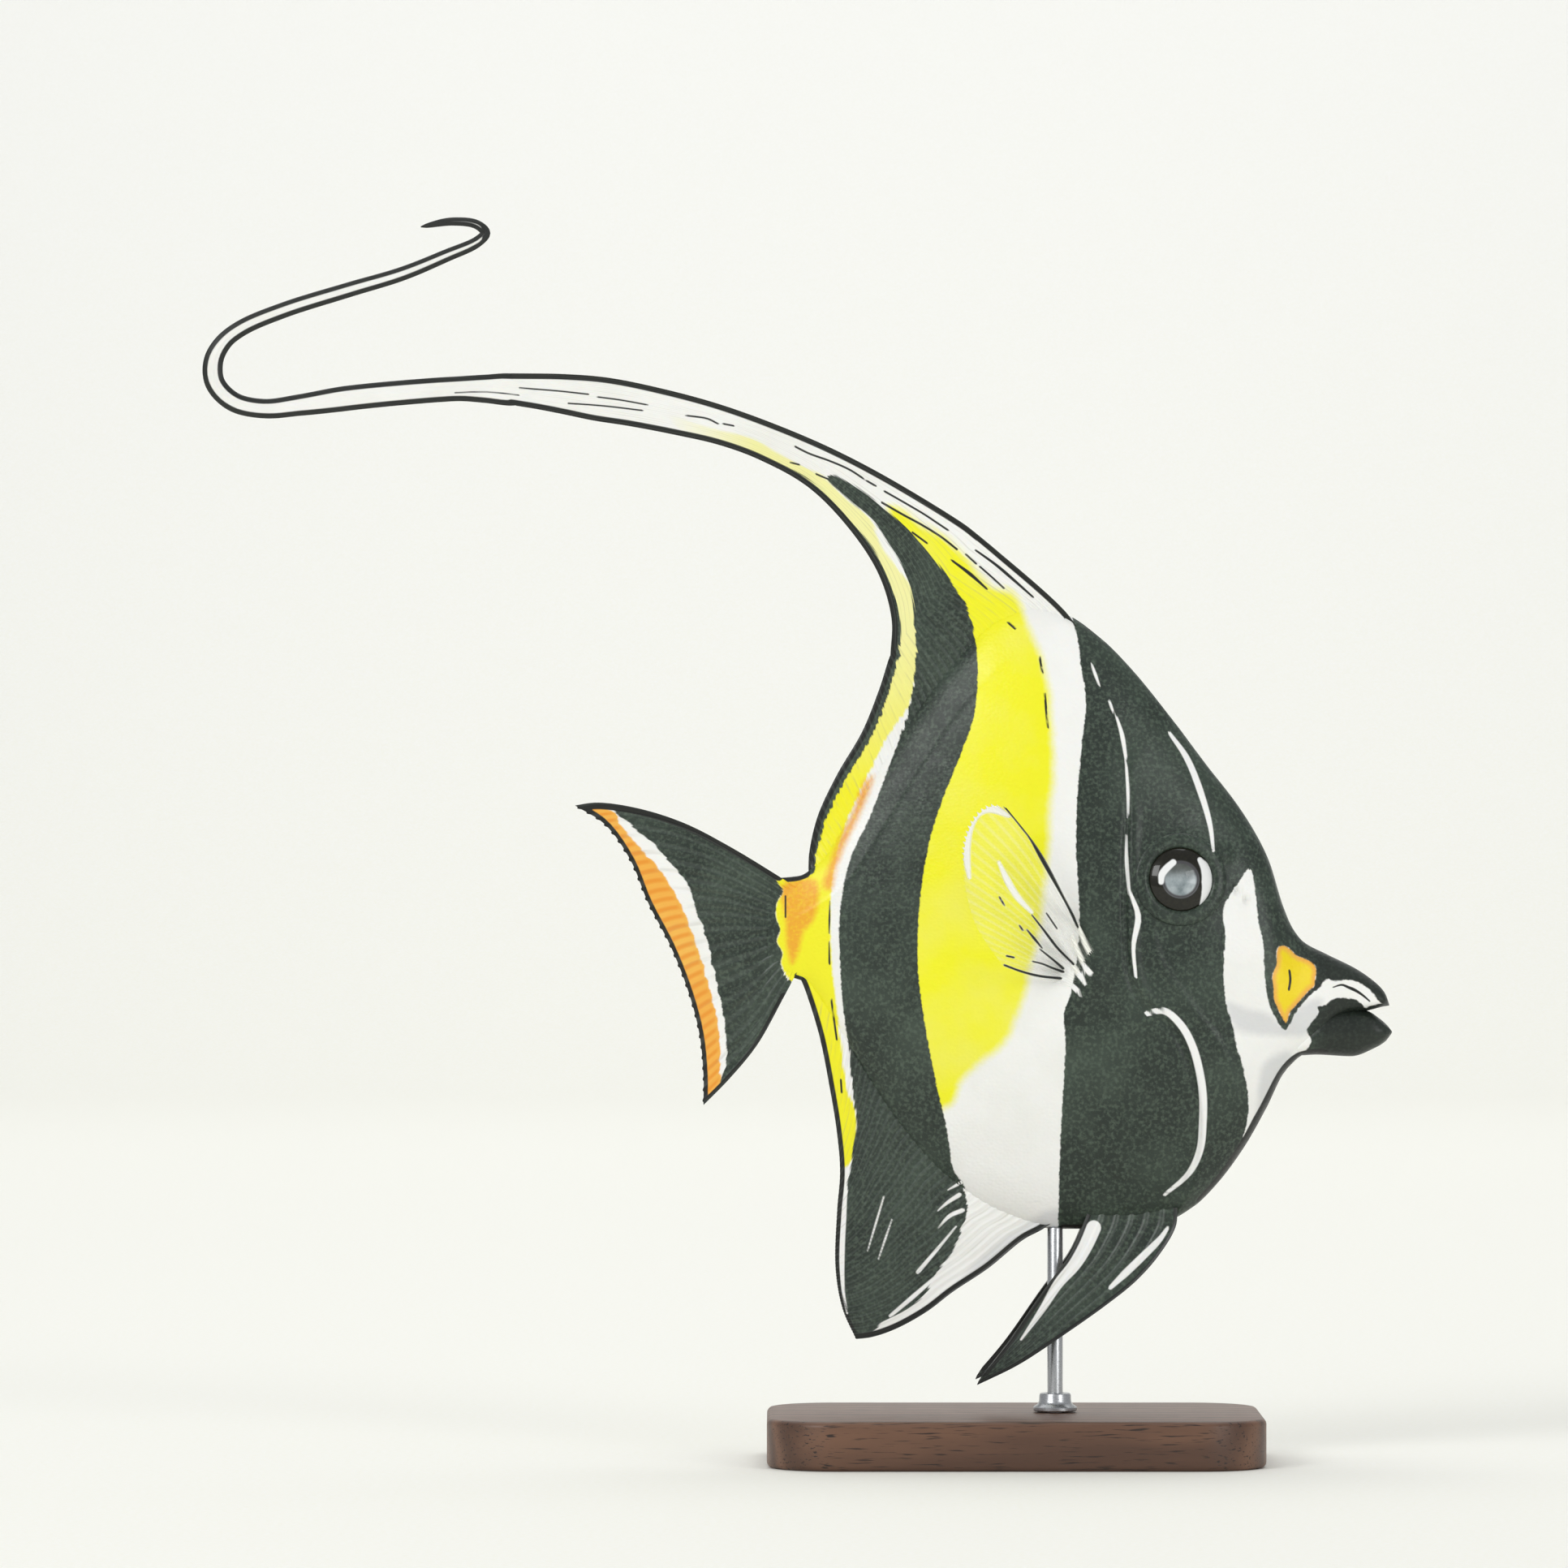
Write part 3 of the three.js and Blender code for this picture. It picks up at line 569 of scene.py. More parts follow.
# %% Dorsal fin
dorsal_root = Line([
    (17, 203), (6, 206), (-4, 203), (-16, 191), (-28, 175), (-40, 155.6), (-50, 141.6),
])
dorsal_front = Line([(17, 203), (12.4, 209.4), (-4, 224), (-8.8, 228)])
dorsal_hind = Line([
    (-8.8, 228), (-16.07, 218.17), (-23.33, 208.33), (-28.8, 200.94), (-30.6, 198.5), (-33.5, 190),
    (-37.5, 180), (-44, 168.8), (-48.6, 158.8), (-50.6, 150), (-50.8, 146),
])
streamer_top = Line([
    (-8.8, 228), (-12.4, 230.8), (-30.7, 242), (-44, 249), (-57.3, 254.8), (-72.7, 260.4),
    (-86.7, 264.2), (-100, 266.9), (-110.7, 267.8), (-124, 268),
])
streamer_under = Line([
    (-30.6, 198.5), (-30.3, 207.3), (-33.3, 218), (-40, 228.7), (-50.7, 239.8), (-62.7, 246.6),
    (-72.7, 250.3), (-84, 252.9), (-95, 255), (-104, 256.4), (-110.7, 257.8), (-117.3, 259.1),
    (-124, 260.2),
])
DRAWN_OUT = 0.5
# The streamer's lower edge leaves the hollow hind edge at this share of it.
leaves = math.hypot(-30.6 + 8.8, 198.5 - 228) / dorsal_hind.length
spread = profile((0, 0), (DRAWN_OUT, leaves), (1, 1))


def dorsal_sway(u, v, x, z):
    return 0.7 * np.sin(x / 21 + z / 37) * smooth_step(v, 0.1, 0.7) * smooth_step(x, -96, -62)


dorsal = fin(
    "dorsal_fin_rays",
    [
        (
            fan(
                dorsal_root, dorsal_front, dorsal_hind,
                Line([(-50, 141.6), (-50.6, 143.8), (-50.8, 146)]), reach=spread,
            ),
            (0, 1), (0, 1), 70,
            lambda u, v: smooth_step(v, 0.94, 1) * smooth_step(u, DRAWN_OUT, DRAWN_OUT + 0.04),
        ),
        (
            fan(
                dorsal_hind, streamer_top, Line([(-124, 268), (-124, 264), (-124, 260.2)]),
                streamer_under, start=lambda u: spread(u * DRAWN_OUT),
            ),
            (0, DRAWN_OUT), (1, 4), 150,
            lambda u, v: smooth_step(u, 0.95, 1) * smooth_step(v, 0, 0.06),
        ),
    ],
    44, 6, dorsal_sway, (1.9, 0.6), spine=1.1, fork=0.7,
)
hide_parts("dorsal_fin", *(f"dorsal_streamer_{k}" for k in (1, 2, 3)))

# %% [markdown]
# ## The streamer
# Past the last ray the fin is a limp white whip that curls forward over itself and ends in a hook.
# It starts well inside the fin, so that no joint shows, and fine ridges run along it.
# A bevelled curve would keep one section all along, but the whip is tall and flat and then nearly
# round. So it is a sheet again, rolled round the route, with its height and its thickness given
# along the way.

# %% Streamer
streamer_route = Line([
    (-104, 261.4), (-110.7, 262.6), (-118, 263.5), (-124.3, 264), (-131, 264.2), (-137, 264.2),
    (-150, 263.3), (-164, 261.9), (-176, 260.2), (-185, 259.3), (-192.5, 261), (-197, 265.6),
    (-197.4, 271), (-195, 275.6), (-190.4, 279.2), (-180, 283.6), (-164, 288.6), (-150.7, 292.6),
    (-140, 297), (-132.4, 300.4), (-130.4, 302.6), (-132.6, 304.7), (-138.7, 305.4),
    (-146.3, 304.1),
])
# The first 20.6 mm of the route lie inside the fin, so the whip's own share starts after them.
lead_in = 20.6 / streamer_route.length
streamer_height = profile(
    (-0.12, 3.0), (-0.03, 3.3), (0, 4), (0.035, 3.5), (0.08, 3.05), (0.23, 3.1), (0.31, 2.6),
    (0.36, 2.4), (0.45, 2.5), (0.51, 2.05), (0.7, 1.85), (0.86, 1.5), (0.92, 1.15), (0.96, 1),
    (0.99, 0.6), (1, 0.15),
)
streamer_half = profile(
    (-0.12, 0.08), (-0.06, 0.2), (0, 0.46), (0.06, 0.72), (0.5, 0.75), (0.85, 0.62), (0.97, 0.42),
    (1, 0.12),
)


def whip(t):
    """A share of the route as a share of the whip alone, negative inside the fin."""
    return (t - lead_in) / (1 - lead_in)


def streamer_place(u, v):
    t = np.interp(v, [0, 0.6, 0.83, 1], [0, 0.62, 0.87, 1])
    at, before, after = (streamer_route.at(np.clip(t + d, 0, 1)) for d in (0, -0.004, 0.004))
    way = after - before
    way /= np.linalg.norm(way, axis=1)[:, None]
    angle = 2 * math.pi * u
    up = streamer_height(whip(t)) * np.cos(angle)
    grooves = 1 + 0.1 * np.cos(angle * 12)
    out = streamer_half(whip(t)) * np.sin(angle) * grooves
    return np.stack([at[:, 0] - way[:, 1] * up, -out, at[:, 1] + way[:, 0] * up], -1)


streamer = close_up(sheet("streamer", 72, 330, streamer_place))
# Its rays carry on from the fin's twenty-two, counted from the upper edge down either side.
down = 0.5 - 0.5 * np.cos(2 * math.pi * point_values(streamer, "u"))
ray_map(streamer, 22 * down, 3.6 + 9 * point_values(streamer, "v"))
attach(streamer, "root")
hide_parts(*(f"dorsal_streamer_{k}" for k in (4, 5, 6, 7)))
print("streamer is", round(streamer_route.length), "mm long")

# %% [markdown]
# ## The anal and tail fins
# The anal fin mirrors the dorsal one below the body, but it ends in a blunt point instead of a
# streamer. The tail fin is a fan of sixteen forking rays whose hind edge is hollowed between two
# tips.

# %% Anal and tail fins
anal_front = Line([
    (12, 61), (7, 57.2), (2.2, 54.6), (-6.5, 47.5), (-15.2, 41.7), (-21.5, 36.9), (-29, 32.7),
    (-35, 30.6), (-39.6, 30),
])
anal_hind = Line([
    (-39.6, 30), (-42.8, 37.5), (-44.4, 47.5), (-43.9, 61.3), (-43.1, 71.3), (-43.9, 81.3),
    (-45.7, 92.5), (-48.2, 105), (-51.6, 116), (-53, 119.4),
])
anal_patch = fan(
    Line([(12, 61), (-2, 64.4), (-14, 72.4), (-25, 84), (-35, 99), (-43, 112.6), (-51, 121)]),
    anal_front, anal_hind, Line([(-51, 121), (-52, 120.4), (-53, 119.4)]),
    reach=profile((0, 0), (0.5, 0.3), (0.8, 0.6), (1, 1)),
)
anal = fin(
    "anal_fin_rays", [(anal_patch, (0, 1), (0, 1), 64, hem)], 37, 6,
    lambda u, v, x, z: 0.8 * np.sin(x / 17 + 1) * smooth_step(v, 0.1, 0.9), (1.9, 0.55), spine=0.7,
)
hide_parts("anal_fin")

tail_top = Line([
    (-54, 141.4), (-58.6, 144.4), (-70.2, 151.4), (-81.5, 157.2), (-92.8, 160.8), (-102.8, 162.2),
    (-109, 161.4),
])
tail_hind = Line([
    (-109, 161.4), (-101.5, 156.7), (-95.2, 148), (-90.8, 137.5), (-85, 126.3), (-80.6, 115),
    (-78, 105), (-77, 95), (-77, 87.3),
])
tail_under = Line([(-53.4, 120.8), (-57.1, 113.8), (-63.4, 102.5), (-70.2, 94.2), (-77, 87.3)])
tail_patch = fan(
    Line([(-54, 141.4), (-55.4, 136), (-55.6, 130), (-55, 124), (-53.4, 120.8)]),
    tail_top, tail_hind, tail_under,
)
caudal = fin(
    "caudal_fin_rays", [(tail_patch, (0, 1), (0, 1), 64, hem)], 16, 14,
    lambda u, v, x, z: 1.1 * np.sin(z / 13) * v**1.5, (2.0, 0.55),
    spine=0.5, fork=0.25, notch=0.012,
)
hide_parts("caudal_fin_upper", "caudal_fin_lower")

# %% [markdown]
# ## The paired fins
# The breast fins row the fish along, so they stand out from the flank, raised in the picture.
# The belly fins are narrow and trail down and back from the breast. Each is made once for the right
# side. The left one is a mirrored copy with its own mesh, whose faces are turned outwards again.

# %% Paired fins
pelvic_front = Line([
    (40, 62.4), (39.6, 57.8), (35.7, 51.2), (30, 44.8), (22.9, 39.1), (10.7, 30.6), (0.7, 24.2),
    (-9.4, 19.4),
])
pelvic_hind = Line([(18, 61.4), (16.4, 57.4), (13.4, 51), (7, 42.4), (-1.6, 30), (-7.6, 22.4)])
pelvic_patch = fan(
    Line([(40, 62.4), (33, 62.6), (26, 61.6), (18, 61.4)]), pelvic_front,
    Line([(-9.4, 19.4), (-9.2, 20), (-8.6, 21), (-7.6, 22.4)]), pelvic_hind,
)
pectoral_patch = fan(
    Line([(20.6, 123), (20.2, 120.6), (18.4, 118.2), (15.6, 116.2)]),
    Line([(20.6, 123), (17.6, 128.6), (12.4, 138), (5.6, 150.4), (-3.2, 161.6)]),
    Line([
        (-3.2, 161.6), (-7, 162), (-10.6, 159.4), (-13.2, 153.6), (-13.4, 144), (-10.4, 132.6),
        (-3.6, 122.4),
    ]),
    Line([(15.6, 116.2), (10.6, 118), (4, 119.8), (-3.6, 122.4)]),
)


def pelvic_sway(u, v, x, z):
    return -(1.9 + 9.6 * v**1.1 + 0.5 * np.sin(v * 5))


def pectoral_sway(u, v, x, z):
    root = float(flank(18, 119)) - 1.4
    return -(root + 15 * v**1.15 * (1 - 0.25 * u) + 0.8 * np.sin(u * 4 + 1) * v)


def both_sides(right, node):
    """The right fin and its mirrored copy, standing for the two solids."""
    only(right)
    bpy.ops.object.duplicate()
    left = named(f"{right.name}_left")
    bpy.ops.transform.mirror(constraint_axis=(False, True, False), center_override=(0, 0, 0))
    bpy.ops.object.transform_apply(location=True, rotation=True, scale=True)
    faces_out()
    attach(left, "root")
    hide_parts(f"{node}_right")
    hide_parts(f"{node}_left")
    return [right, left]


pelvics = both_sides(
    fin(
        "pelvic_rays", [(pelvic_patch, (0, 1), (0, 1), 84, hem)], 6, 14, pelvic_sway, (1.9, 0.5),
        spine=0.6, fork=0.5, notch=0,
    ),
    "pelvic_fin",
)
pectorals = both_sides(
    fin(
        "pectoral_rays", [(pectoral_patch, (0, 1), (0, 1), 56, hem)], 18, 8, pectoral_sway,
        (1.3, 0.35), spine=0.5, fork=0.45, notch=0.02,
    ),
    "pectoral_fin",
)
print("paired fins:", [p.name for p in pelvics + pectorals])

# %% [markdown]
# ## The eyes
# A fish's eye is a flattened ball with a clear front, set in a ring of thick skin.
# The ball starts as a sphere, is pressed flat along the skin's own direction there, and its front
# bulges a little over the pupil.
# The ring is a torus laid against the same slope and sunk so far that its edges meet the skin.


# %% Eyes
def flank_normal(x, z, side):
    """The direction straight out of the flank, from its slope 0.5 mm to each side of a point."""
    d = 0.5
    slope_x = float(flank(x + d, z) - flank(x - d, z)) / (2 * d)
    slope_z = float(flank(x, z + d) - flank(x, z - d)) / (2 * d)
    return Vector((-slope_x, side, -slope_z)).normalized()


def set_on_flank(piece, side, sunk):
    """Turns a piece whose front is +Z to face out of the flank at the eye, and applies that."""
    normal = flank_normal(*EYE, side)
    surface = Vector((EYE[0], side * (float(flank(*EYE)) + GILL_STEP), EYE[1]))
    piece.rotation_mode = "QUATERNION"
    piece.rotation_quaternion = Vector((0, 0, 1)).rotation_difference(normal)
    piece.location = (surface - normal * sunk) * MM
    only(piece)
    bpy.ops.object.transform_apply(location=True, rotation=True, scale=True)
    bpy.ops.object.shade_smooth()
    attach(piece, "root")
    return piece


eyeballs, rims = [], []
for side, word in ((-1, "right"), (1, "left")):
    bpy.ops.object.select_all(action="DESELECT")
    bpy.ops.mesh.primitive_uv_sphere_add(segments=144, ring_count=84, radius=1)
    ball = named(f"eyeball_{word}")
    at = placed_points(ball) * MM
    reach = np.hypot(at[:, 0], at[:, 1])
    front = at[:, 2] > 0
    # The clear front is a little steeper than an ellipsoid's, so it catches light in a small spot.
    at[:, 2] += np.where(front, 0.12 * np.exp(-((reach / 0.55) ** 2)), 0)
    ball.data.vertices.foreach_set("co", (at * EYE_SIZE * MM).ravel())
    set_on_flank(ball, side, 1.1)
    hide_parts(f"eye_{word}")
    eyeballs.append(ball)

    bpy.ops.object.select_all(action="DESELECT")
    bpy.ops.mesh.primitive_torus_add(
        major_radius=RING_RADIUS * MM, minor_radius=RING_THICKNESS * MM,
        major_segments=96, minor_segments=28,
    )
    rim = named(f"eye_rim_{word}")
    at = placed_points(rim)
    reach = np.hypot(at[:, 0], at[:, 1])
    # Outwards the ring thins away into the cheek, and inwards it stands up against the ball.
    at[:, 2] *= np.where(at[:, 2] > 0, 0.8, 1.0)
    at[:, :2] *= 1 + 0.10 * smooth_step(reach, 9.0, RING_RADIUS + RING_THICKNESS)[:, None]
    rim.data.vertices.foreach_set("co", (at * MM).ravel())
    set_on_flank(rim, side, 0.05)
    rims.append(rim)
print("eyes", [e.name for e in eyeballs], "rims", [r.name for r in rims])

# %% [markdown]
# ## The colours' borders
# The bars, the saddle and the pale lines cross from the skin onto the fins without a break.
# So their borders are lines of the side view, shared by all pieces, and every mesh point keeps its
# distance from them. A picture wrapped round the fish would blur and stretch on the keels.

# %% Borders
def patch(*points):
    """A closed border through points of the picture."""
    return Line(from_picture(points), closed=True, steps=4)


def stroke(width, *points):
    """A line through points of the picture, and its width in mm at even shares of its length."""
    widths = width if isinstance(width, tuple) else (width, width)
    return Line(from_picture(points), steps=5), widths


front_bar = patch(
    (1312, 700), (1321, 761), (1327, 786), (1331, 821), (1337, 864), (1332, 914), (1327, 964),
    (1325, 1000), (1324, 1050), (1327, 1100), (1328, 1143), (1323, 1190), (1316, 1228),
    (1309, 1246), (1311, 1276), (1309, 1331), (1306, 1387), (1304, 1461), (1304, 1530),
    (1312, 1720), (1500, 1740), (1800, 1700), (1800, 700), (1560, 600),
)
face = patch(
    (1538, 1069), (1543, 1085), (1546, 1110), (1549, 1138), (1553, 1154), (1555, 1171),
    (1556, 1201), (1558, 1217), (1561, 1235), (1568, 1250), (1577, 1265), (1582, 1268),
    (1587, 1262), (1594, 1248), (1604, 1235), (1614, 1224), (1624, 1217), (1629, 1210),
    (1634, 1206), (1643, 1208), (1658, 1207), (1669, 1209), (1678, 1213), (1688, 1221),
    (1694, 1229), (1699, 1235), (1730, 1250), (1760, 1330), (1640, 1345), (1590, 1372),
    (1560, 1412), (1531, 1403), (1534, 1387), (1537, 1361), (1533, 1331), (1528, 1309),
    (1521, 1287), (1516, 1262), (1508, 1235), (1505, 1200), (1506, 1172), (1507, 1146),
    (1504, 1121), (1511, 1106), (1524, 1087),
)
chin = patch(
    (1609, 1268), (1613, 1261), (1623, 1247), (1622, 1240), (1632, 1238), (1637, 1233),
    (1643, 1230), (1652, 1229), (1666, 1230), (1675, 1235), (1681, 1241), (1690, 1238),
    (1702, 1236), (1716, 1240), (1722, 1280), (1700, 1304), (1660, 1310), (1620, 1306),
    (1608, 1296), (1614, 1284), (1612, 1276),
)
saddle = patch(
    (1572, 1167), (1580, 1164), (1589, 1169), (1596, 1176), (1606, 1180), (1617, 1186),
    (1621, 1194), (1620, 1205), (1618, 1215), (1612, 1220), (1603, 1230), (1594, 1240),
    (1588, 1247), (1583, 1261), (1580, 1258), (1573, 1245), (1567, 1231), (1566, 1216),
    (1565, 1201), (1570, 1187),
)
rear_bar = patch(
    (1019, 590), (1024, 585), (1044, 594), (1070, 609), (1095, 631), (1112, 646), (1124, 658),
    (1144, 682), (1160, 702), (1186, 739), (1196, 762), (1203, 800), (1204, 840), (1200, 880),
    (1187, 920), (1160, 987), (1141, 1053), (1131, 1133), (1131, 1200), (1140, 1267), (1153, 1333),
    (1168, 1400), (1174, 1440), (1187, 1459), (1191, 1486), (1186, 1510), (1172, 1545),
    (1154, 1566), (1139, 1596), (1117, 1614), (1086, 1630), (1050, 1662), (1040, 1640),
    (1037, 1590), (1038, 1540), (1041, 1480), (1050, 1425), (1055, 1378), (1050, 1337),
    (1044, 1280), (1039, 1245), (1035, 1189), (1034, 1132), (1038, 1099), (1049, 1054),
    (1070, 1010), (1090, 958), (1110, 905), (1119, 880), (1127, 827), (1128, 779), (1122, 730),
    (1110, 695), (1095, 670), (1076, 641), (1049, 619), (1034, 605),
)
tail_black = patch(
    (950, 1060), (957, 1087), (965, 1098), (957, 1112), (956, 1130), (961, 1146), (957, 1160),
    (964, 1174), (962, 1186), (971, 1207), (985, 1214), (960, 1262), (925, 1320), (889, 1350),
    (889, 1332), (894, 1312), (895, 1281), (889, 1239), (878, 1189), (869, 1150), (858, 1124),
    (847, 1090), (825, 1062), (802, 1037), (770, 1010), (754, 998), (735, 990), (700, 985),
    (760, 960),
)
tail_orange = patch(
    (712, 994), (754, 998), (766, 1020), (783, 1037), (816, 1076), (839, 1116), (856, 1158),
    (870, 1203), (884, 1259), (887, 1301), (888, 1326), (884, 1348), (866, 1368), (855, 1300),
    (840, 1231), (815, 1175), (785, 1118), (768, 1066), (742, 1022),
)
front_yellow = patch(
    (1095, 625), (1133, 645), (1160, 661), (1185, 683), (1207, 705), (1224, 722), (1248, 730),
    (1266, 764), (1280, 800), (1290, 853), (1294, 920), (1291, 1013), (1285, 1080), (1281, 1130),
    (1272, 1170), (1262, 1227), (1245, 1272), (1207, 1312), (1182, 1335), (1170, 1360),
    (1120, 1360), (1080, 1100), (1150, 900), (1150, 760),
)
rear_yellow = patch(
    (822, 512), (877, 528), (925, 540), (955, 557), (988, 574), (1013, 586), (1035, 608),
    (1071, 640), (1088, 677), (1105, 700), (1122, 719), (1140, 779), (1130, 829), (1120, 868),
    (1095, 905), (1068, 958), (1044, 1012), (1027, 1072), (1023, 1130), (1026, 1200), (1035, 1273),
    (1041, 1329), (1056, 1385), (1046, 1435), (1020, 1440), (980, 1215), (972, 1207), (962, 1186),
    (964, 1174), (957, 1160), (961, 1146), (956, 1130), (957, 1112), (965, 1098), (957, 1087),
    (950, 1060), (1010, 900), (1060, 760), (980, 610), (880, 560),
)
belly_fin = patch(
    (1460, 1480), (1335, 1508), (1290, 1570), (1190, 1690), (1190, 1720), (1270, 1710), (1480, 1560)
)
amber_patches = [
    patch((964, 1091), (1005, 1085), (1008, 1111), (1002, 1134), (990, 1148), (984, 1172),
          (976, 1188), (970, 1168), (968, 1137)),
    patch((1076, 956), (1061, 1000), (1043, 1038), (1030, 1072), (1024, 1096), (1014, 1092),
          (1023, 1062), (1035, 1032), (1052, 998), (1066, 962)),
]
# Painted shade: grey patches under the lip, on the throat and on the belly before the anal fin.
painted_shade_patches = [
    patch((1508, 1232), (1530, 1238), (1564, 1250), (1576, 1262), (1600, 1240), (1625, 1232),
          (1622, 1252), (1606, 1276), (1576, 1274), (1520, 1266)),
    patch((1556, 1310), (1590, 1296), (1575, 1345), (1552, 1380), (1550, 1340)),
    patch((1300, 1490), (1330, 1512), (1240, 1545), (1180, 1585), (1200, 1560), (1235, 1525)),
]

# A dark edge follows the fins, the streamer and, on the skin, the keels at the belly, the throat
# and the tail stalk. The dorsal fin has a broad black margin as well, below the streamer and
# along its own hind edge.
whip_share = np.linspace(0.102, 0.996, 60)
whip_at, whip_ahead = streamer_route.at(whip_share), streamer_route.at(whip_share + 0.003)
whip_way = (whip_ahead - whip_at) / np.linalg.norm(whip_ahead - whip_at, axis=1)[:, None]
whip_off = np.stack([-whip_way[:, 1], whip_way[:, 0]], -1)
whip_off *= streamer_height(whip(whip_share))[:, None]


def beyond(line, share):
    """The rest of a line after a share of its length, so that no edge starts inside the body."""
    return Line(line.points[line.share > share], steps=1)


margin_below = beyond(dorsal_hind, leaves)
dark_margins = [(streamer_under, (4.4, 3.0, 2.0, 2.0)), (margin_below, (4.6, 5.4, 5.2, 4.6, 3.4))]
fin_edges = [
    (dorsal_front, (2.6,)), (streamer_top, (2.8,)), (streamer_under, (2.8,)),
    (margin_below, (2.8,)), (anal_front, (2.8,)), (anal_hind, (2.6,)), (tail_hind, (3.2, 2.8)),
    (beyond(tail_top, 0.08), (2.4, 3.4)), (beyond(tail_under, 0.17), (2.0,)),
    (pelvic_front, (1.8,)), (pelvic_hind, (2.0,)),
]
fin_edges += [(Line(whip_at + side * whip_off, steps=2), (2.7, 2.5, 2.2)) for side in (1, -1)]
keel_edges = [
    (Line(np.stack([x, edge(x)], -1), steps=2), width)
    for edge, x, width in (
        (lower_edge, np.linspace(12, 28, 8), (2.2,)),
        (lower_edge, np.linspace(46, 76, 16), (2.4, 4.0, 2.8)),
        (upper_edge, np.linspace(-61, -51.5, 6), (2.4,)),
        (lower_edge, np.linspace(-60, -53.5, 5), (2.0,)),
    )
]
ink_strokes = [
    # along the streamer and the front of the dorsal fin
    stroke(0.5, (979, 550), (997, 559), (1022, 568), (1047, 579), (1064, 590)),
    stroke(0.5, (1067, 592), (1079, 599)),
    stroke(0.5, (1089, 605), (1117, 621), (1139, 634), (1154, 644), (1169, 654)),
    stroke(0.55, (1086, 619), (1112, 634), (1136, 647), (1160, 662), (1179, 677)),
    stroke(0.5, (1124, 656), (1143, 670)),
    stroke(0.45, (845, 512), (872, 516), (884, 522)),
    stroke(0.45, (890, 522), (905, 525)),
    stroke(0.45, (974, 570), (986, 573)),
    stroke(0.45, (1005, 584), (1019, 590)),
    stroke(0.4, (735, 489), (765, 493), (798, 499)),
    stroke(0.4, (640, 478), (690, 482), (726, 486)),
    stroke(0.4, (700, 497), (742, 500), (793, 506)),
    stroke(0.35, (560, 484), (600, 483), (640, 487)),
    stroke((0.5, 0.8, 0.5), (1202, 678), (1227, 696), (1247, 713), (1273, 736)),
    stroke(0.5, (1190, 683), (1203, 695)),
    stroke(0.5, (1207, 698), (1224, 713), (1237, 725)),
    stroke((0.5, 0.9, 0.5), (1172, 690), (1196, 708), (1216, 726)),
    # at the edge of the yellow
    stroke(0.7, (1242, 767), (1251, 775)),
    stroke(0.6, (1280, 808), (1284, 832)),
    stroke(0.6, (1286, 852), (1290, 900)),
    # on the saddle, the lip and the tail
    stroke(0.6, (1587, 1195), (1588, 1207), (1586, 1219)),
    stroke((0.3, 0.8, 0.4), (1641, 1216), (1652, 1213), (1660, 1216), (1669, 1220), (1678, 1226),
           (1686, 1233)),
    stroke(0.5, (1023, 1110), (1021, 1150)),
    stroke(0.5, (1021, 1160), (1022, 1188)),
    stroke(0.5, (1024, 1230), (1031, 1281)),
    stroke(0.5, (1036, 1330), (1037, 1346)),
    stroke(0.5, (968, 1104), (968, 1130)),
]
# Pale lines on the face, and painted highlights on the belly fins and the anal fin.
pale_lines_and_painted_highlights = [
    stroke((0.8, 1.5, 1.6, 1.3, 0.7), (1440, 903), (1462, 935), (1481, 985), (1490, 1020),
           (1493, 1048)),
    stroke((0.5, 0.8, 0.4), (1344, 818), (1354, 846)),
    stroke((0.5, 0.7, 0.4), (1365, 862), (1371, 879)),
    stroke((0.5, 1.1, 0.7), (1374, 882), (1381, 905), (1386, 936)),
    stroke((0.6, 0.8, 0.5), (1386, 943), (1388, 975), (1388, 1007)),
    stroke((0.4, 0.9, 0.7), (1386, 1025), (1386, 1060), (1389, 1100)),
    stroke((0.9, 1.5, 0.9, 0.7), (1392, 1104), (1400, 1128), (1394, 1164), (1397, 1203)),
    stroke((1.4, 1.8, 1.9, 1.9, 1.8, 1.5, 0.8), (1411, 1247), (1432, 1244), (1453, 1262),
           (1467, 1288), (1476, 1321), (1480, 1350), (1480, 1383), (1477, 1415), (1464, 1444),
           (1434, 1471)),
    # painted highlights along the belly fins' edges
    stroke((3.6, 3.2, 2.4, 1.5, 0.5), (1347, 1512), (1337, 1534), (1323, 1557), (1303, 1580),
           (1284, 1610), (1257, 1648)),
    stroke((0.8, 1.6, 1.8, 1.8, 1.0), (1438, 1512), (1429, 1525), (1406, 1548), (1386, 1567),
           (1367, 1585)),
    # painted highlights over the root of the anal fin and along its rays
    stroke((1.0, 0.3), (1187, 1455), (1168, 1466)),
    stroke((1.1, 0.8, 0.3), (1182, 1472), (1168, 1481), (1155, 1492)),
    stroke((1.1, 0.9, 0.2), (1186, 1491), (1170, 1498), (1155, 1514)),
    stroke((0.4, 0.8, 1.0), (1178, 1511), (1154, 1540), (1131, 1567)),
    stroke((0.8, 1.1, 0.8), (1152, 1574), (1122, 1600), (1097, 1621)),
    stroke((0.4, 0.5, 0.3), (1089, 1474), (1069, 1541)),
    stroke((0.3, 0.5, 0.3), (1099, 1502), (1082, 1552)),
    stroke((0.5, 1.1, 1.1, 0.9, 0.4), (1043, 1462), (1040, 1500), (1038, 1545), (1039, 1590),
           (1044, 1618)),
    # the ends of the breast fin's roots
    stroke(1.2, (1317, 1211), (1330, 1224)),
    stroke(1.3, (1331, 1186), (1343, 1200)),
    stroke(1.3, (1322, 1193), (1335, 1209)),
]
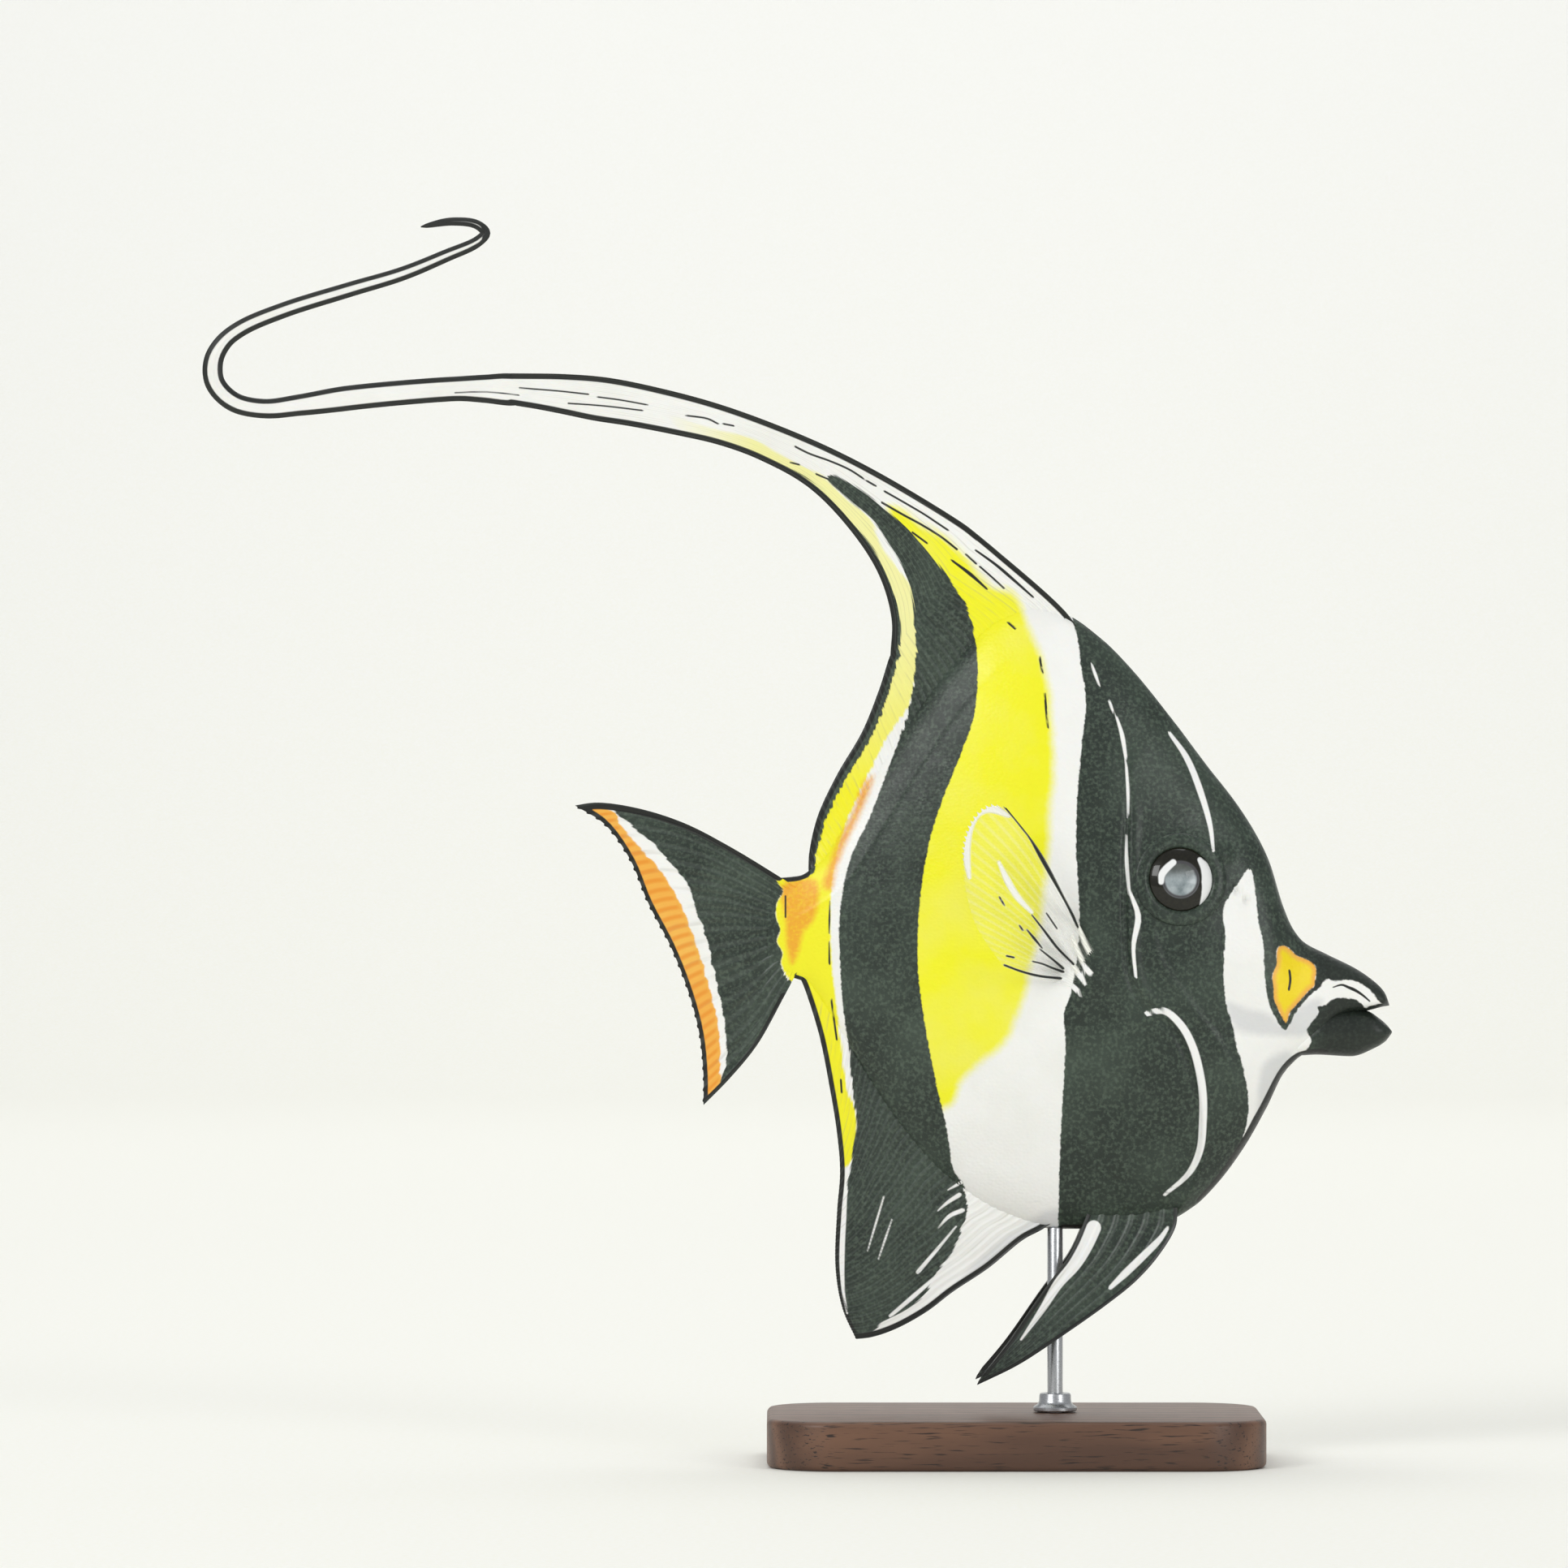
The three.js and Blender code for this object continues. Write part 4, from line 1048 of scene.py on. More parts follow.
# The breast fins and the eyes have strokes of their own.
breast_pale = [
    stroke((0.8, 2.2, 2.6, 2.4, 2.2, 1.6, 0.8), (1240, 1005), (1217, 995), (1201, 1000),
           (1191, 1018), (1188, 1040), (1189, 1059), (1192, 1080)),
    stroke((0.6, 1.5, 1.4, 0.7), (1228, 1061), (1240, 1086), (1252, 1105), (1269, 1123)),
    stroke((0.6, 1.3, 1.3), (1326, 1137), (1335, 1162), (1345, 1180)),
    stroke((0.6, 1.3, 1.3), (1319, 1152), (1332, 1184), (1343, 1200)),
    stroke((0.6, 1.3, 1.3), (1316, 1182), (1335, 1209)),
]
breast_ink = [
    stroke((0.8, 1.9, 1.9, 1.5, 1.0, 0.6), (1234, 992), (1252, 1010), (1268, 1029), (1284, 1059),
           (1311, 1109), (1326, 1142)),
    stroke((0.4, 0.7, 0.6), (1269, 1126), (1284, 1145), (1301, 1167), (1321, 1187)),
    stroke(0.45, (1287, 1124), (1300, 1143)),
    stroke((0.4, 0.7, 0.4), (1263, 1144), (1282, 1167)),
    stroke((0.4, 0.7), (1279, 1168), (1294, 1180), (1308, 1192)),
    stroke((0.4, 0.7), (1270, 1183), (1282, 1186), (1294, 1191), (1308, 1196)),
    stroke((0.5, 0.7), (1235, 1187), (1256, 1195), (1279, 1201), (1305, 1204)),
    stroke(0.5, (1229, 1104), (1235, 1114)),
    stroke(0.5, (1254, 1139), (1258, 1145)),
    stroke(0.5, (1238, 1176), (1247, 1178)),
]
# Painted highlights: two pale crescents on the eye.
eye_painted_highlights = [
    stroke((1.5, 1.7, 1.7, 1.3), (1443, 1062), (1435, 1069), (1429, 1077), (1428, 1086)),
    stroke((1.2, 2.9, 3.7, 2.8, 0.6), (1476, 1059), (1484, 1071), (1487, 1085), (1485, 1099),
           (1477, 1114)),
]


def stroke_distance(points, strokes):
    """Distance to the border of the nearest stroke."""
    best = np.full(len(points), FAR)
    for route, width in strokes:
        near = close_by(points, route)
        gap, share = nearest(points[near], route)
        half = np.interp(share, np.linspace(0, 1, len(width)), width) / 2
        best[near] = np.minimum(best[near], gap - half)
    return best


def store(piece, **marks):
    """Keeps each mark, a distance in mm from a border that is negative inside it, on the points."""
    for name, values in marks.items():
        layer = piece.data.attributes.new(name, "FLOAT", "POINT")
        layer.data.foreach_set("value", np.clip(values, -FAR, FAR).astype(np.float32))


marked = [skin, jaw, dorsal, streamer, anal, caudal, *pelvics, *rims]
for piece in marked:
    at = placed_points(piece)[:, [0, 2]]
    on_saddle = patch_distance(at, saddle)
    black = [
        np.maximum.reduce([patch_distance(at, front_bar), -patch_distance(at, face), -on_saddle]),
        np.abs(on_saddle - 0.3) - 0.45,
        stroke_distance(at, dark_margins),
    ]
    black += [patch_distance(at, area) for area in (chin, belly_fin, rear_bar, tail_black)]
    store(
        piece,
        black=np.minimum.reduce(black),
        yellow=patch_distance(at, front_yellow),
        lemon=patch_distance(at, rear_yellow),
        grey=np.minimum.reduce([patch_distance(at, area) for area in painted_shade_patches]),
        orange=np.minimum(on_saddle, patch_distance(at, tail_orange)),
        gold=on_saddle + 1.1,
        edge=stroke_distance(at, keel_edges if piece in (skin, jaw) else fin_edges),
        amber=np.minimum.reduce([patch_distance(at, area) for area in amber_patches]),
        pale=stroke_distance(at, pale_lines_and_painted_highlights),
        ink=stroke_distance(at, ink_strokes),
    )
# Bars show only in the tail's orange margin, so no other piece has this mark.
barred = -patch_distance(placed_points(caudal)[:, [0, 2]], tail_orange)
store(caudal, barred=np.clip(barred, 0, 1))
for piece in pectorals:
    at = placed_points(piece)[:, [0, 2]]
    store(piece, pale=stroke_distance(at, breast_pale), ink=stroke_distance(at, breast_ink))
# The eyes' pale mark holds only their painted highlight crescents.
for piece in eyeballs:
    store(piece, pale=stroke_distance(placed_points(piece)[:, [0, 2]], eye_painted_highlights))
print("borders stored on", len(marked) + len(pectorals) + len(eyeballs), "pieces")

# %% [markdown]
# ## Materials
# Each material is named for what the real surface is. Its colours are given as sRGB hex values, as
# a colour picker shows them, and one function turns them into the linear values that Blender wants.
# Another adds a node, sets its values and joins its inputs. The rest are the nodes that come up
# again and again: sums, ramps, noises, bumps and stored borders. So a tree reads as a short list.


# %% Material tools
def linear(hex_colour):
    """An sRGB hex colour as linear red, green, blue and alpha."""
    parts = [int(hex_colour[i : i + 2], 16) / 255 for i in (1, 3, 5)]
    return (*(c / 12.92 if c <= 0.04045 else ((c + 0.055) / 1.055) ** 2.4 for c in parts), 1)


def node(tree, kind, links=None, **settings):
    """Adds a node. A setting is a property or, as _0, _1 or _Name, the value of an input."""
    made = tree.nodes.new(kind)
    for key, value in settings.items():
        if key.startswith("_"):
            key = int(key[1:]) if key[1:].isdigit() else key[1:].replace("_", " ")
            made.inputs[key].default_value = value
        else:
            setattr(made, key, value)
    for key, source in (links or {}).items():
        tree.links.new(source, made.inputs[key])
    return made


def material(name):
    """An empty material with its output, its Principled shader and the Object coordinates."""
    made = bpy.data.materials.new(name)
    made.use_nodes = True
    tree = made.node_tree
    tree.nodes.clear()
    shader = node(tree, "ShaderNodeBsdfPrincipled")
    node(tree, "ShaderNodeOutputMaterial", {"Surface": shader.outputs[0]})
    return made, tree, shader, node(tree, "ShaderNodeTexCoord").outputs["Object"]


def finish(tree, shader, joined, **values):
    """Joins sockets to the shader's inputs, and sets others: Coat_IOR is the input Coat IOR."""
    for name, source in joined.items():
        tree.links.new(source, shader.inputs[name])
    for name, value in values.items():
        shader.inputs[name.replace("_", " ")].default_value = value


def maths(tree, operation, *values, clamp=False):
    """The result of an operation on numbers and sockets."""
    made = node(tree, "ShaderNodeMath", operation=operation, use_clamp=clamp)
    for socket, value in zip(made.inputs, values):
        if isinstance(value, (int, float)):
            socket.default_value = value
        else:
            tree.links.new(value, socket)
    return made.outputs[0]


def ramp(tree, value, low, high, start=0.0, end=1.0, kind="LINEAR"):
    """A value between low and high turned into one between start and end."""
    return node(
        tree, "ShaderNodeMapRange", {"Value": value}, interpolation_type=kind,
        _1=low, _2=high, _3=start, _4=end,
    ).outputs[0]


def mottle(tree, where, size, detail, output="Fac"):
    """A noise whose grains are about as wide as given in mm."""
    return node(
        tree, "ShaderNodeTexNoise", {"Vector": where}, _Scale=1 / (size * MM), _Detail=detail
    ).outputs[output]


def stretch(tree, where, **settings):
    """Coordinates that are scaled or turned."""
    return node(tree, "ShaderNodeMapping", {"Vector": where}, **settings).outputs[0]


def bump(tree, height, strength, depth, over=None, invert=False):
    """A bump as deep as given in mm, over another one if there is one."""
    joined = {"Height": height} if over is None else {"Height": height, "Normal": over}
    return node(
        tree, "ShaderNodeBump", joined, invert=invert, _Strength=strength, _Distance=depth * MM
    ).outputs[0]


def inside(tree, name, soft, shift=None):
    """1 inside the stored border of that name, with an edge as soft as given in mm."""
    stored = node(tree, "ShaderNodeAttribute", attribute_name=name).outputs["Fac"]
    if shift is not None:
        stored = maths(tree, "ADD", stored, shift)
    return ramp(tree, stored, -soft, soft, 1.0, 0.0, "SMOOTHSTEP")


def along_rays(tree):
    """The fins' own map, the distance along the rays, the angle that turns once from ray to ray,
    and its cosine, which is 1 on each ray."""
    mapped = node(tree, "ShaderNodeUVMap", uv_map="rays").outputs[0]
    count, along, _ = node(tree, "ShaderNodeSeparateXYZ", {"Vector": mapped}).outputs
    turn = maths(tree, "MULTIPLY", count, 2 * math.pi)
    return mapped, along, turn, maths(tree, "COSINE", turn)


def mix(tree, factor, a, b):
    """Colour a turned into colour b by a factor. Either may be a hex value or a socket."""
    made = node(tree, "ShaderNodeMix", data_type="RGBA")
    for socket, value in ((made.inputs[6], a), (made.inputs[7], b)):
        if isinstance(value, str):
            socket.default_value = linear(value)
        else:
            tree.links.new(value, socket)
    tree.links.new(factor, made.inputs[0])
    return made.outputs[2]


def dress(piece, *materials):
    piece.data.materials.clear()
    for m in materials:
        piece.data.materials.append(m)


print("black is", [round(c, 3) for c in linear("#23282A")])

# %% [markdown]
# ### The coat of colours
# Black, white, yellow and orange lie in the skin as pigment cells, so each border is slightly
# ragged. A node group reads the stored distances, shifts them by a noise and layers the colours:
# white at the bottom, then a painted grey shade, the two yellows, amber, orange, the saddle's gold,
# black, the dark edges, the pale lines with some painted highlights and, on top, the ink strokes.


# %% Coat of colours
def colour_coat():
    tree = bpy.data.node_groups.new("coat of colours", "ShaderNodeTree")
    for name, way, kind in (
        ("Place", "INPUT", "Vector"), ("Shift", "INPUT", "Float"),
        ("Colour", "OUTPUT", "Color"), ("Black", "OUTPUT", "Float"),
    ):
        tree.interface.new_socket(name, in_out=way, socket_type=f"NodeSocket{kind}")
    entry = node(tree, "NodeGroupInput")
    place, ragged = entry.outputs["Place"], entry.outputs["Shift"]
    # One grain of pigment is a fraction of a millimetre, drawn at 0.9 mm so that it shows.
    grain, wash = mottle(tree, place, 0.9, 3), mottle(tree, place, 17, 4)
    softly = maths(tree, "ADD", maths(tree, "MULTIPLY_ADD", wash, 4.0, -2.0), ragged)
    shade = ramp(tree, wash, 0.42, 0.72, 0.0, 0.6)
    speckle = ramp(tree, grain, 0.46, 0.7, 0.0, 0.6)
    white = mix(tree, shade, "#F8F8F4", "#EDEDE6")
    yellow = mix(tree, shade, "#F7F420", "#F5F06E")
    orange = mix(tree, shade, "#F6B448", "#F8C75E")
    black = mix(tree, speckle, mix(tree, shade, "#27312A", "#4A584C"), "#5A695A")
    # The lips and the chin are the darkest of all.
    x, _, z = node(tree, "ShaderNodeSeparateXYZ", {"Vector": place}).outputs
    black = mix(tree, ramp(tree, x, 68 * MM, 77 * MM, 0.0, 0.75), black, "#1B201B")

    # Painted shade: the grey patches darken the white to a pale grey.
    painted_grey_shade = maths(tree, "MULTIPLY", inside(tree, "grey", 1.4, softly), 0.6)
    colour = mix(tree, painted_grey_shade, white, "#CDCED0")
    colour = mix(tree, inside(tree, "yellow", 1.6, softly), colour, yellow)
    # The rear yellow pales as it climbs to the streamer, and ends a little way out on it.
    rear = inside(tree, "lemon", 0.4, ragged)
    rear = maths(tree, "MULTIPLY", rear, ramp(tree, z, 165 * MM, 204 * MM, 1.0, 0.55))
    rear = maths(tree, "MULTIPLY", rear, ramp(tree, x, -86 * MM, -64 * MM))
    colour = mix(tree, rear, colour, "#F7F120")
    amber = maths(tree, "MULTIPLY", inside(tree, "amber", 1.1, ragged), 0.9)
    colour = mix(tree, amber, colour, mix(tree, speckle, "#F2A42C", "#F8CE2A"))
    colour = mix(tree, inside(tree, "orange", 0.25, ragged), colour, orange)
    # The saddle is yellow inside its orange rim.
    colour = mix(tree, inside(tree, "gold", 0.8, ragged), colour, "#F8DC12")
    dark, edge = inside(tree, "black", 0.2, ragged), inside(tree, "edge", 0.15)
    # The pale mark paints real pale lines and painted highlights in one near-white.
    light = inside(tree, "pale", 0.18)
    colour = mix(tree, dark, colour, black)
    colour = mix(tree, edge, colour, "#191B18")
    colour = mix(tree, light, colour, "#F8F8F5")
    colour = mix(tree, inside(tree, "ink", 0.12), colour, "#1E2221")
    left = maths(tree, "SUBTRACT", maths(tree, "MAXIMUM", dark, edge), light, clamp=True)
    node(tree, "NodeGroupOutput", {"Colour": colour, "Black": left})
    return tree


coat = colour_coat()


def with_coat(tree, where, noise, depth):
    """The coat's colour and where it is black, its borders shifted by a noise up to depth in mm."""
    shift = maths(tree, "MULTIPLY_ADD", noise, depth, -depth / 2)
    made = node(tree, "ShaderNodeGroup", {"Place": where, "Shift": shift}, node_tree=coat)
    return made.outputs["Colour"], made.outputs["Black"]


print("coat has", len(coat.nodes), "nodes")

# %% [markdown]
# ### Wet fish skin
# Skin over tiny rough scales, under a film of slime: satin, with a soft second gloss on top.
# The scales of this fish are under a millimetre wide and feel like fine sandpaper, so they are
# a bump and not a form. The pigment lies in the skin, so a little light scatters inside it.

# %% Wet fish skin
fish_skin, tree, shader, where = material("wet fish skin")
colour, _ = with_coat(tree, where, mottle(tree, where, 1.1, 3), 0.8)
scales = node(
    tree, "ShaderNodeTexVoronoi", {"Vector": stretch(tree, where, _Scale=(1.0, 0.35, 1.25))},
    feature="SMOOTH_F1", _Scale=1 / (0.95 * MM), _Smoothness=0.35, _Randomness=0.75,
).outputs["Distance"]
slime = mottle(tree, where, 6, 5)
grit = bump(tree, scales, 0.42, 0.18, invert=True)
finish(
    tree, shader,
    {
        "Base Color": colour,
        "Roughness": ramp(tree, slime, 0.3, 0.7, 0.36, 0.52),
        "Normal": bump(tree, slime, 0.25, 0.5, over=grit),
    },
    IOR=1.38, Coat_Weight=0.22, Coat_Roughness=0.22, Coat_IOR=1.34,
    Subsurface_Weight=0.08, Subsurface_Radius=(1.0, 0.6, 0.35), Subsurface_Scale=1.2 * MM,
)
for piece in (skin, jaw, *rims):
    dress(piece, fish_skin)
print("fish skin has", len(tree.nodes), "nodes")

# %% [markdown]
# ### Rayed fin
# The same coat of colours stretched thin between rays. The fins' UV map counts rays in u.
# Along each ray the pigment thins, and the colour borders run in streaks up and down the rays.

# %% Rayed fin
rayed_fin, tree, shader, where = material("rayed fin membrane")
mapped, along, turn, wave = along_rays(tree)
streaks = mottle(tree, stretch(tree, mapped, _Scale=(1.9, 2.6, 1.0)), 1 / MM, 3)
colour, dark = with_coat(tree, where, streaks, 2.2)
between = ramp(tree, wave, -0.5, -1.0, 0.0, 1.0, "SMOOTHSTEP")
lines = maths(tree, "MULTIPLY", between, ramp(tree, streaks, 0.42, 0.64, 0.0, 0.26))
lines = maths(tree, "MULTIPLY", lines, maths(tree, "MULTIPLY_ADD", dark, -0.8, 1.0))
# Out on the streamer the rays melt into one smooth band.
lines = maths(tree, "MULTIPLY", lines, ramp(tree, along, 3.4, 4.6, 1.0, 0.1))
colour = mix(tree, lines, colour, "#96957F")
# The tail's margin is barred with a deeper orange, two bars to a ray, but not where it is black.
bars = ramp(tree, maths(tree, "COSINE", maths(tree, "MULTIPLY", turn, 2.0)), -0.5, 0.9, 0.0, 0.75)
barred = node(tree, "ShaderNodeAttribute", attribute_name="barred").outputs["Fac"]
bars = maths(tree, "MULTIPLY", bars, barred)
bars = maths(tree, "MULTIPLY", bars, maths(tree, "SUBTRACT", 1.0, dark))
colour = mix(tree, bars, colour, "#EE9428")
on_dark = maths(tree, "MULTIPLY", ramp(tree, wave, 0.2, 1.0, 0.0, 0.1), dark)
finish(
    tree, shader,
    {"Base Color": mix(tree, on_dark, colour, "#8D968F"), "Normal": bump(tree, streaks, 0.3, 0.4)},
    IOR=1.38, Roughness=0.42, Coat_Weight=0.18, Coat_Roughness=0.25,
    Subsurface_Weight=0.12, Subsurface_Radius=(1.0, 0.7, 0.4), Subsurface_Scale=0.8 * MM,
)
for piece in (dorsal, streamer, anal, caudal, *pelvics):
    dress(piece, rayed_fin)
print("rayed fin has", len(tree.nodes), "nodes")

# %% [markdown]
# ### Clear breast fin
# The breast fins are nearly colourless, so alpha lets the flank through and the rays hardly show.
# Only the white outer edge, the white roots and a few dark rays are solid.

# %% Clear breast fin
clear_fin, tree, shader, _ = material("clear fin membrane")
*_, wave = along_rays(tree)
white_part, dark_part = inside(tree, "pale", 0.4), inside(tree, "ink", 0.14)
solid = maths(tree, "MAXIMUM", white_part, ramp(tree, wave, 0.0, 1.0, 0.04, 0.12))
finish(
    tree, shader,
    {
        "Base Color": mix(tree, dark_part, "#FAFAF2", "#1E2221"),
        "Alpha": maths(tree, "MAXIMUM", solid, dark_part),
    },
    IOR=1.38, Roughness=0.35,
)
for piece in pectorals:
    dress(piece, clear_fin)
print("clear fin has", len(tree.nodes), "nodes")

# %% [markdown]
# ### The eye
# A wet, clear front over an olive-black iris, with painted highlight crescents beside a grey-blue
# pupil, whose paler mottle is a painted reflection and whose darker top is painted shade.
# Both eyes lie on one line across the head, so one material fits both: it measures the distance
# from that line. The gloss of the clear front is a coat, which stays sharp over the soft colours.

# %% The eye
wet_eye, tree, shader, where = material("wet eye under a clear front")
offset = node(tree, "ShaderNodeVectorMath", {0: where}, operation="SUBTRACT")
offset.inputs[1].default_value = (EYE[0] * MM, 0, EYE[1] * MM)
flat_on = node(tree, "ShaderNodeVectorMath", {0: offset.outputs[0]}, operation="MULTIPLY")
flat_on.inputs[1].default_value = (1 / MM, 0, 1 / MM)
flat_on = flat_on.outputs[0]
reach = node(tree, "ShaderNodeVectorMath", {0: flat_on}, operation="LENGTH").outputs["Value"]
upper = node(tree, "ShaderNodeSeparateXYZ", {"Vector": flat_on}).outputs[2]
# Painted reflection: the pupil's pale grey-blue mottle. Painted shade: it darkens towards its top.
pupil_painted_reflection = ramp(tree, mottle(tree, where, 3, 4), 0.35, 0.68)
pupil_painted_top_shade = ramp(tree, upper, -0.6, 3.2, 0.0, 0.85, "SMOOTHSTEP")
pupil = mix(tree, pupil_painted_top_shade, mix(tree, pupil_painted_reflection, "#6F7C80", "#B2BBBE"), "#45463F")
iris = mix(tree, mottle(tree, where, 0.8, 3), "#0B0A07", "#26251A")


def band(inner, outer, soft):
    """1 between two distances from the eye's axis, in mm."""
    rise = ramp(tree, reach, inner - soft, inner + soft, kind="SMOOTHSTEP")
    fall = ramp(tree, reach, outer - soft, outer + soft, 1.0, 0.0, "SMOOTHSTEP")
    return maths(tree, "MULTIPLY", rise, fall)


seen = mix(tree, band(4.5, 30, 0.25), pupil, iris)
seen = mix(tree, band(3.9, 4.6, 0.3), seen, "#4B4A4D")
# Painted highlights: the pale crescents on the eye.
seen = mix(tree, inside(tree, "pale", 0.2), seen, "#F4F5F4")
finish(
    tree, shader, {"Base Color": seen},
    IOR=1.38, Specular_IOR_Level=0.2, Roughness=0.3,
    Coat_Weight=1.0, Coat_IOR=1.34, Coat_Roughness=0.02,
)
for ball in eyeballs:
    dress(ball, wet_eye)
print("eye has", len(tree.nodes), "nodes")

# %% [markdown]
# ## The stand
# The picture's fish swims free, so a plain stand takes the water's place: a walnut base and a steel
# rod. The base is a cube pressed to size. Its upright edges are bevelled round with an edit-mode
# operator, and a smaller bevel then breaks every edge that a hand would feel.

# %% Base
bottom, top = (np.array(c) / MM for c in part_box("stand_base"))
rod_x = float(sum(c[0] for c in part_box("stand_rod")) / 2 / MM)
bpy.ops.object.select_all(action="DESELECT")
bpy.ops.mesh.primitive_cube_add(size=1, location=tuple((bottom + top) / 2 * MM))
base = named("stand_base_walnut")
base.scale = tuple((top - bottom) * MM)
bpy.ops.object.transform_apply(location=True, rotation=True, scale=True)
edit_edges(base, lambda a, b: abs(a.z - b.z) > 1 * MM)
bpy.ops.mesh.bevel(offset=17 * MM, segments=14, affect="EDGES")
bpy.ops.mesh.select_all(action="DESELECT")
bpy.ops.object.mode_set(mode="OBJECT")
worn = base.modifiers.new("broken edges", "BEVEL")
worn.width = 1.4 * MM
worn.segments = 4
worn.limit_method = "ANGLE"
worn.angle_limit = math.radians(50)
bpy.ops.object.modifier_apply(modifier="broken edges")
bpy.ops.object.shade_smooth_by_angle(angle=math.radians(35))
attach(base, "root")
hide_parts("stand_base")
print("base is", [round(float(s), 1) for s in top - bottom], "mm")

# %% [markdown]
# The rod is turned: its foot sits in the base and its head is rounded off under the belly.
# A collar covers the place where it enters the base. It is a spun profile, as a lathe makes it.
# Spin closes on itself, so the last ring is merged with the first and the faces are turned
# outwards.


# %% Rod and collar
def turned(name, outline):
    """A closed profile of (radius, z) in mm, spun round the rod's own line."""
    mesh = bpy.data.meshes.new(name)
    mesh.from_pydata(
        [((rod_x + r) * MM, 0, z * MM) for r, z in outline],
        [(k, (k + 1) % len(outline)) for k in range(len(outline))],
        [],
    )
    piece = bpy.data.objects.new(name, mesh)
    bpy.context.collection.objects.link(piece)
    only(piece)
    bpy.ops.object.mode_set(mode="EDIT")
    bpy.ops.mesh.select_all(action="SELECT")
    bpy.ops.mesh.spin(
        steps=64, angle=2 * math.pi, center=(rod_x * MM, 0, 0), axis=(0, 0, 1), use_auto_merge=True
    )
    bpy.ops.mesh.select_all(action="SELECT")
    bpy.ops.mesh.remove_doubles(threshold=0.002 * MM)
    bpy.ops.mesh.dissolve_degenerate(threshold=0.001 * MM)
    faces_out()
    bpy.ops.object.shade_smooth_by_angle(angle=math.radians(32))
    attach(piece, "root")
    return piece


rod_low, rod_high = (np.array(c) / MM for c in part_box("stand_rod"))
rod = turned("stand_rod_steel", [
    (0, rod_low[2]), (1.6, rod_low[2]), (1.9, rod_low[2] + 0.4), (1.9, rod_high[2] - 1.2),
    (1.75, rod_high[2] - 0.9), (0, rod_high[2] - 0.6),
])
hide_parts("stand_rod")
collar_low, collar_high = (np.array(c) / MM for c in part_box("stand_collar"))
foot, head = collar_low[2], collar_high[2]
collar = turned("stand_collar_steel", [
    (2.2, foot), (5.1, foot), (5.4, foot + 0.3), (5.4, foot + 0.9), (5.2, foot + 1.2),
    (4.4, foot + 1.7), (3.95, foot + 2.5), (3.9, head - 0.6), (3.7, head - 0.15), (3.4, head),
    (2.35, head), (2.2, head - 0.15),
])
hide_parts("stand_collar")
print("rod from", round(float(rod_low[2]), 1), "to", round(float(rod_high[2]), 1), "mm")

# %% [markdown]
# ### Oiled walnut and satin steel
# Walnut: brown heartwood whose rings run along the plank as bands, with short dark pores a few
# tenths of a millimetre wide and some millimetres long. Oil leaves it satin.
# The steel was turned and then brushed, so its fine marks run round it and spread its highlights.

# %% Walnut and steel
walnut, tree, shader, where = material("oiled walnut")
plank = stretch(tree, where, _Scale=(0.16, 1.0, 1.0), _Rotation=(0.3, 0.05, 0.04))
figure = mottle(tree, plank, 14, 3, "Color")
bend = node(tree, "ShaderNodeVectorMath", {0: figure}, operation="SCALE")
bend.inputs["Scale"].default_value = 9 * MM
bent = node(tree, "ShaderNodeVectorMath", {0: plank, 1: bend.outputs[0]}, operation="ADD")
rings = node(
    tree, "ShaderNodeTexWave", {"Vector": bent.outputs[0]}, wave_type="BANDS", bands_direction="Y",
    _Scale=1 / (26 * MM), _Distortion=3.5, _Detail=3,
).outputs["Fac"]
pore = ramp(tree, mottle(tree, stretch(tree, where, _Scale=(0.06, 1.0, 1.0)), 0.5, 2), 0.58, 0.68)
heart = mix(tree, rings, "#54392A", "#74523D")
finish(
    tree, shader,
    {
        "Base Color": mix(tree, pore, heart, "#2C1D14"),
        "Normal": bump(tree, pore, 0.4, 0.1, invert=True),
    },
    IOR=1.48, Roughness=0.46, Coat_Weight=0.15, Coat_Roughness=0.35,
)
dress(base, walnut)

satin_steel, tree, shader, where = material("turned and brushed steel")
marks = mottle(tree, stretch(tree, where, _Scale=(0.2, 0.2, 1.0)), 0.12, 2)
finish(
    tree, shader,
    {
        "Base Color": mix(tree, marks, "#B4B6B8", "#D2D4D5"),
        "Roughness": ramp(tree, marks, 0.3, 0.7, 0.24, 0.4),
        "Normal": bump(tree, marks, 0.15, 0.03),
    },
    Metallic=1.0,
)
for piece in (rod, collar):
    dress(piece, satin_steel)
print("stand is dressed")

# %% [markdown]
# ## Floor and light
# The picture's ground is one pale tone from edge to edge. A sweep gives that: a floor that turns up
# into a wall without a corner, so no horizon shows behind the fish.
# The wall stands 3.65 m behind the fish, so that a camera can also go round to the far side.
# Two large lamps stand left and right of the camera and leave their shapes in the wet eye, and
# a third hangs above, so that the back and the streamer keep a clean edge. Two more light the
# floor and the wall behind the fish, or else a dark band would run across the picture.

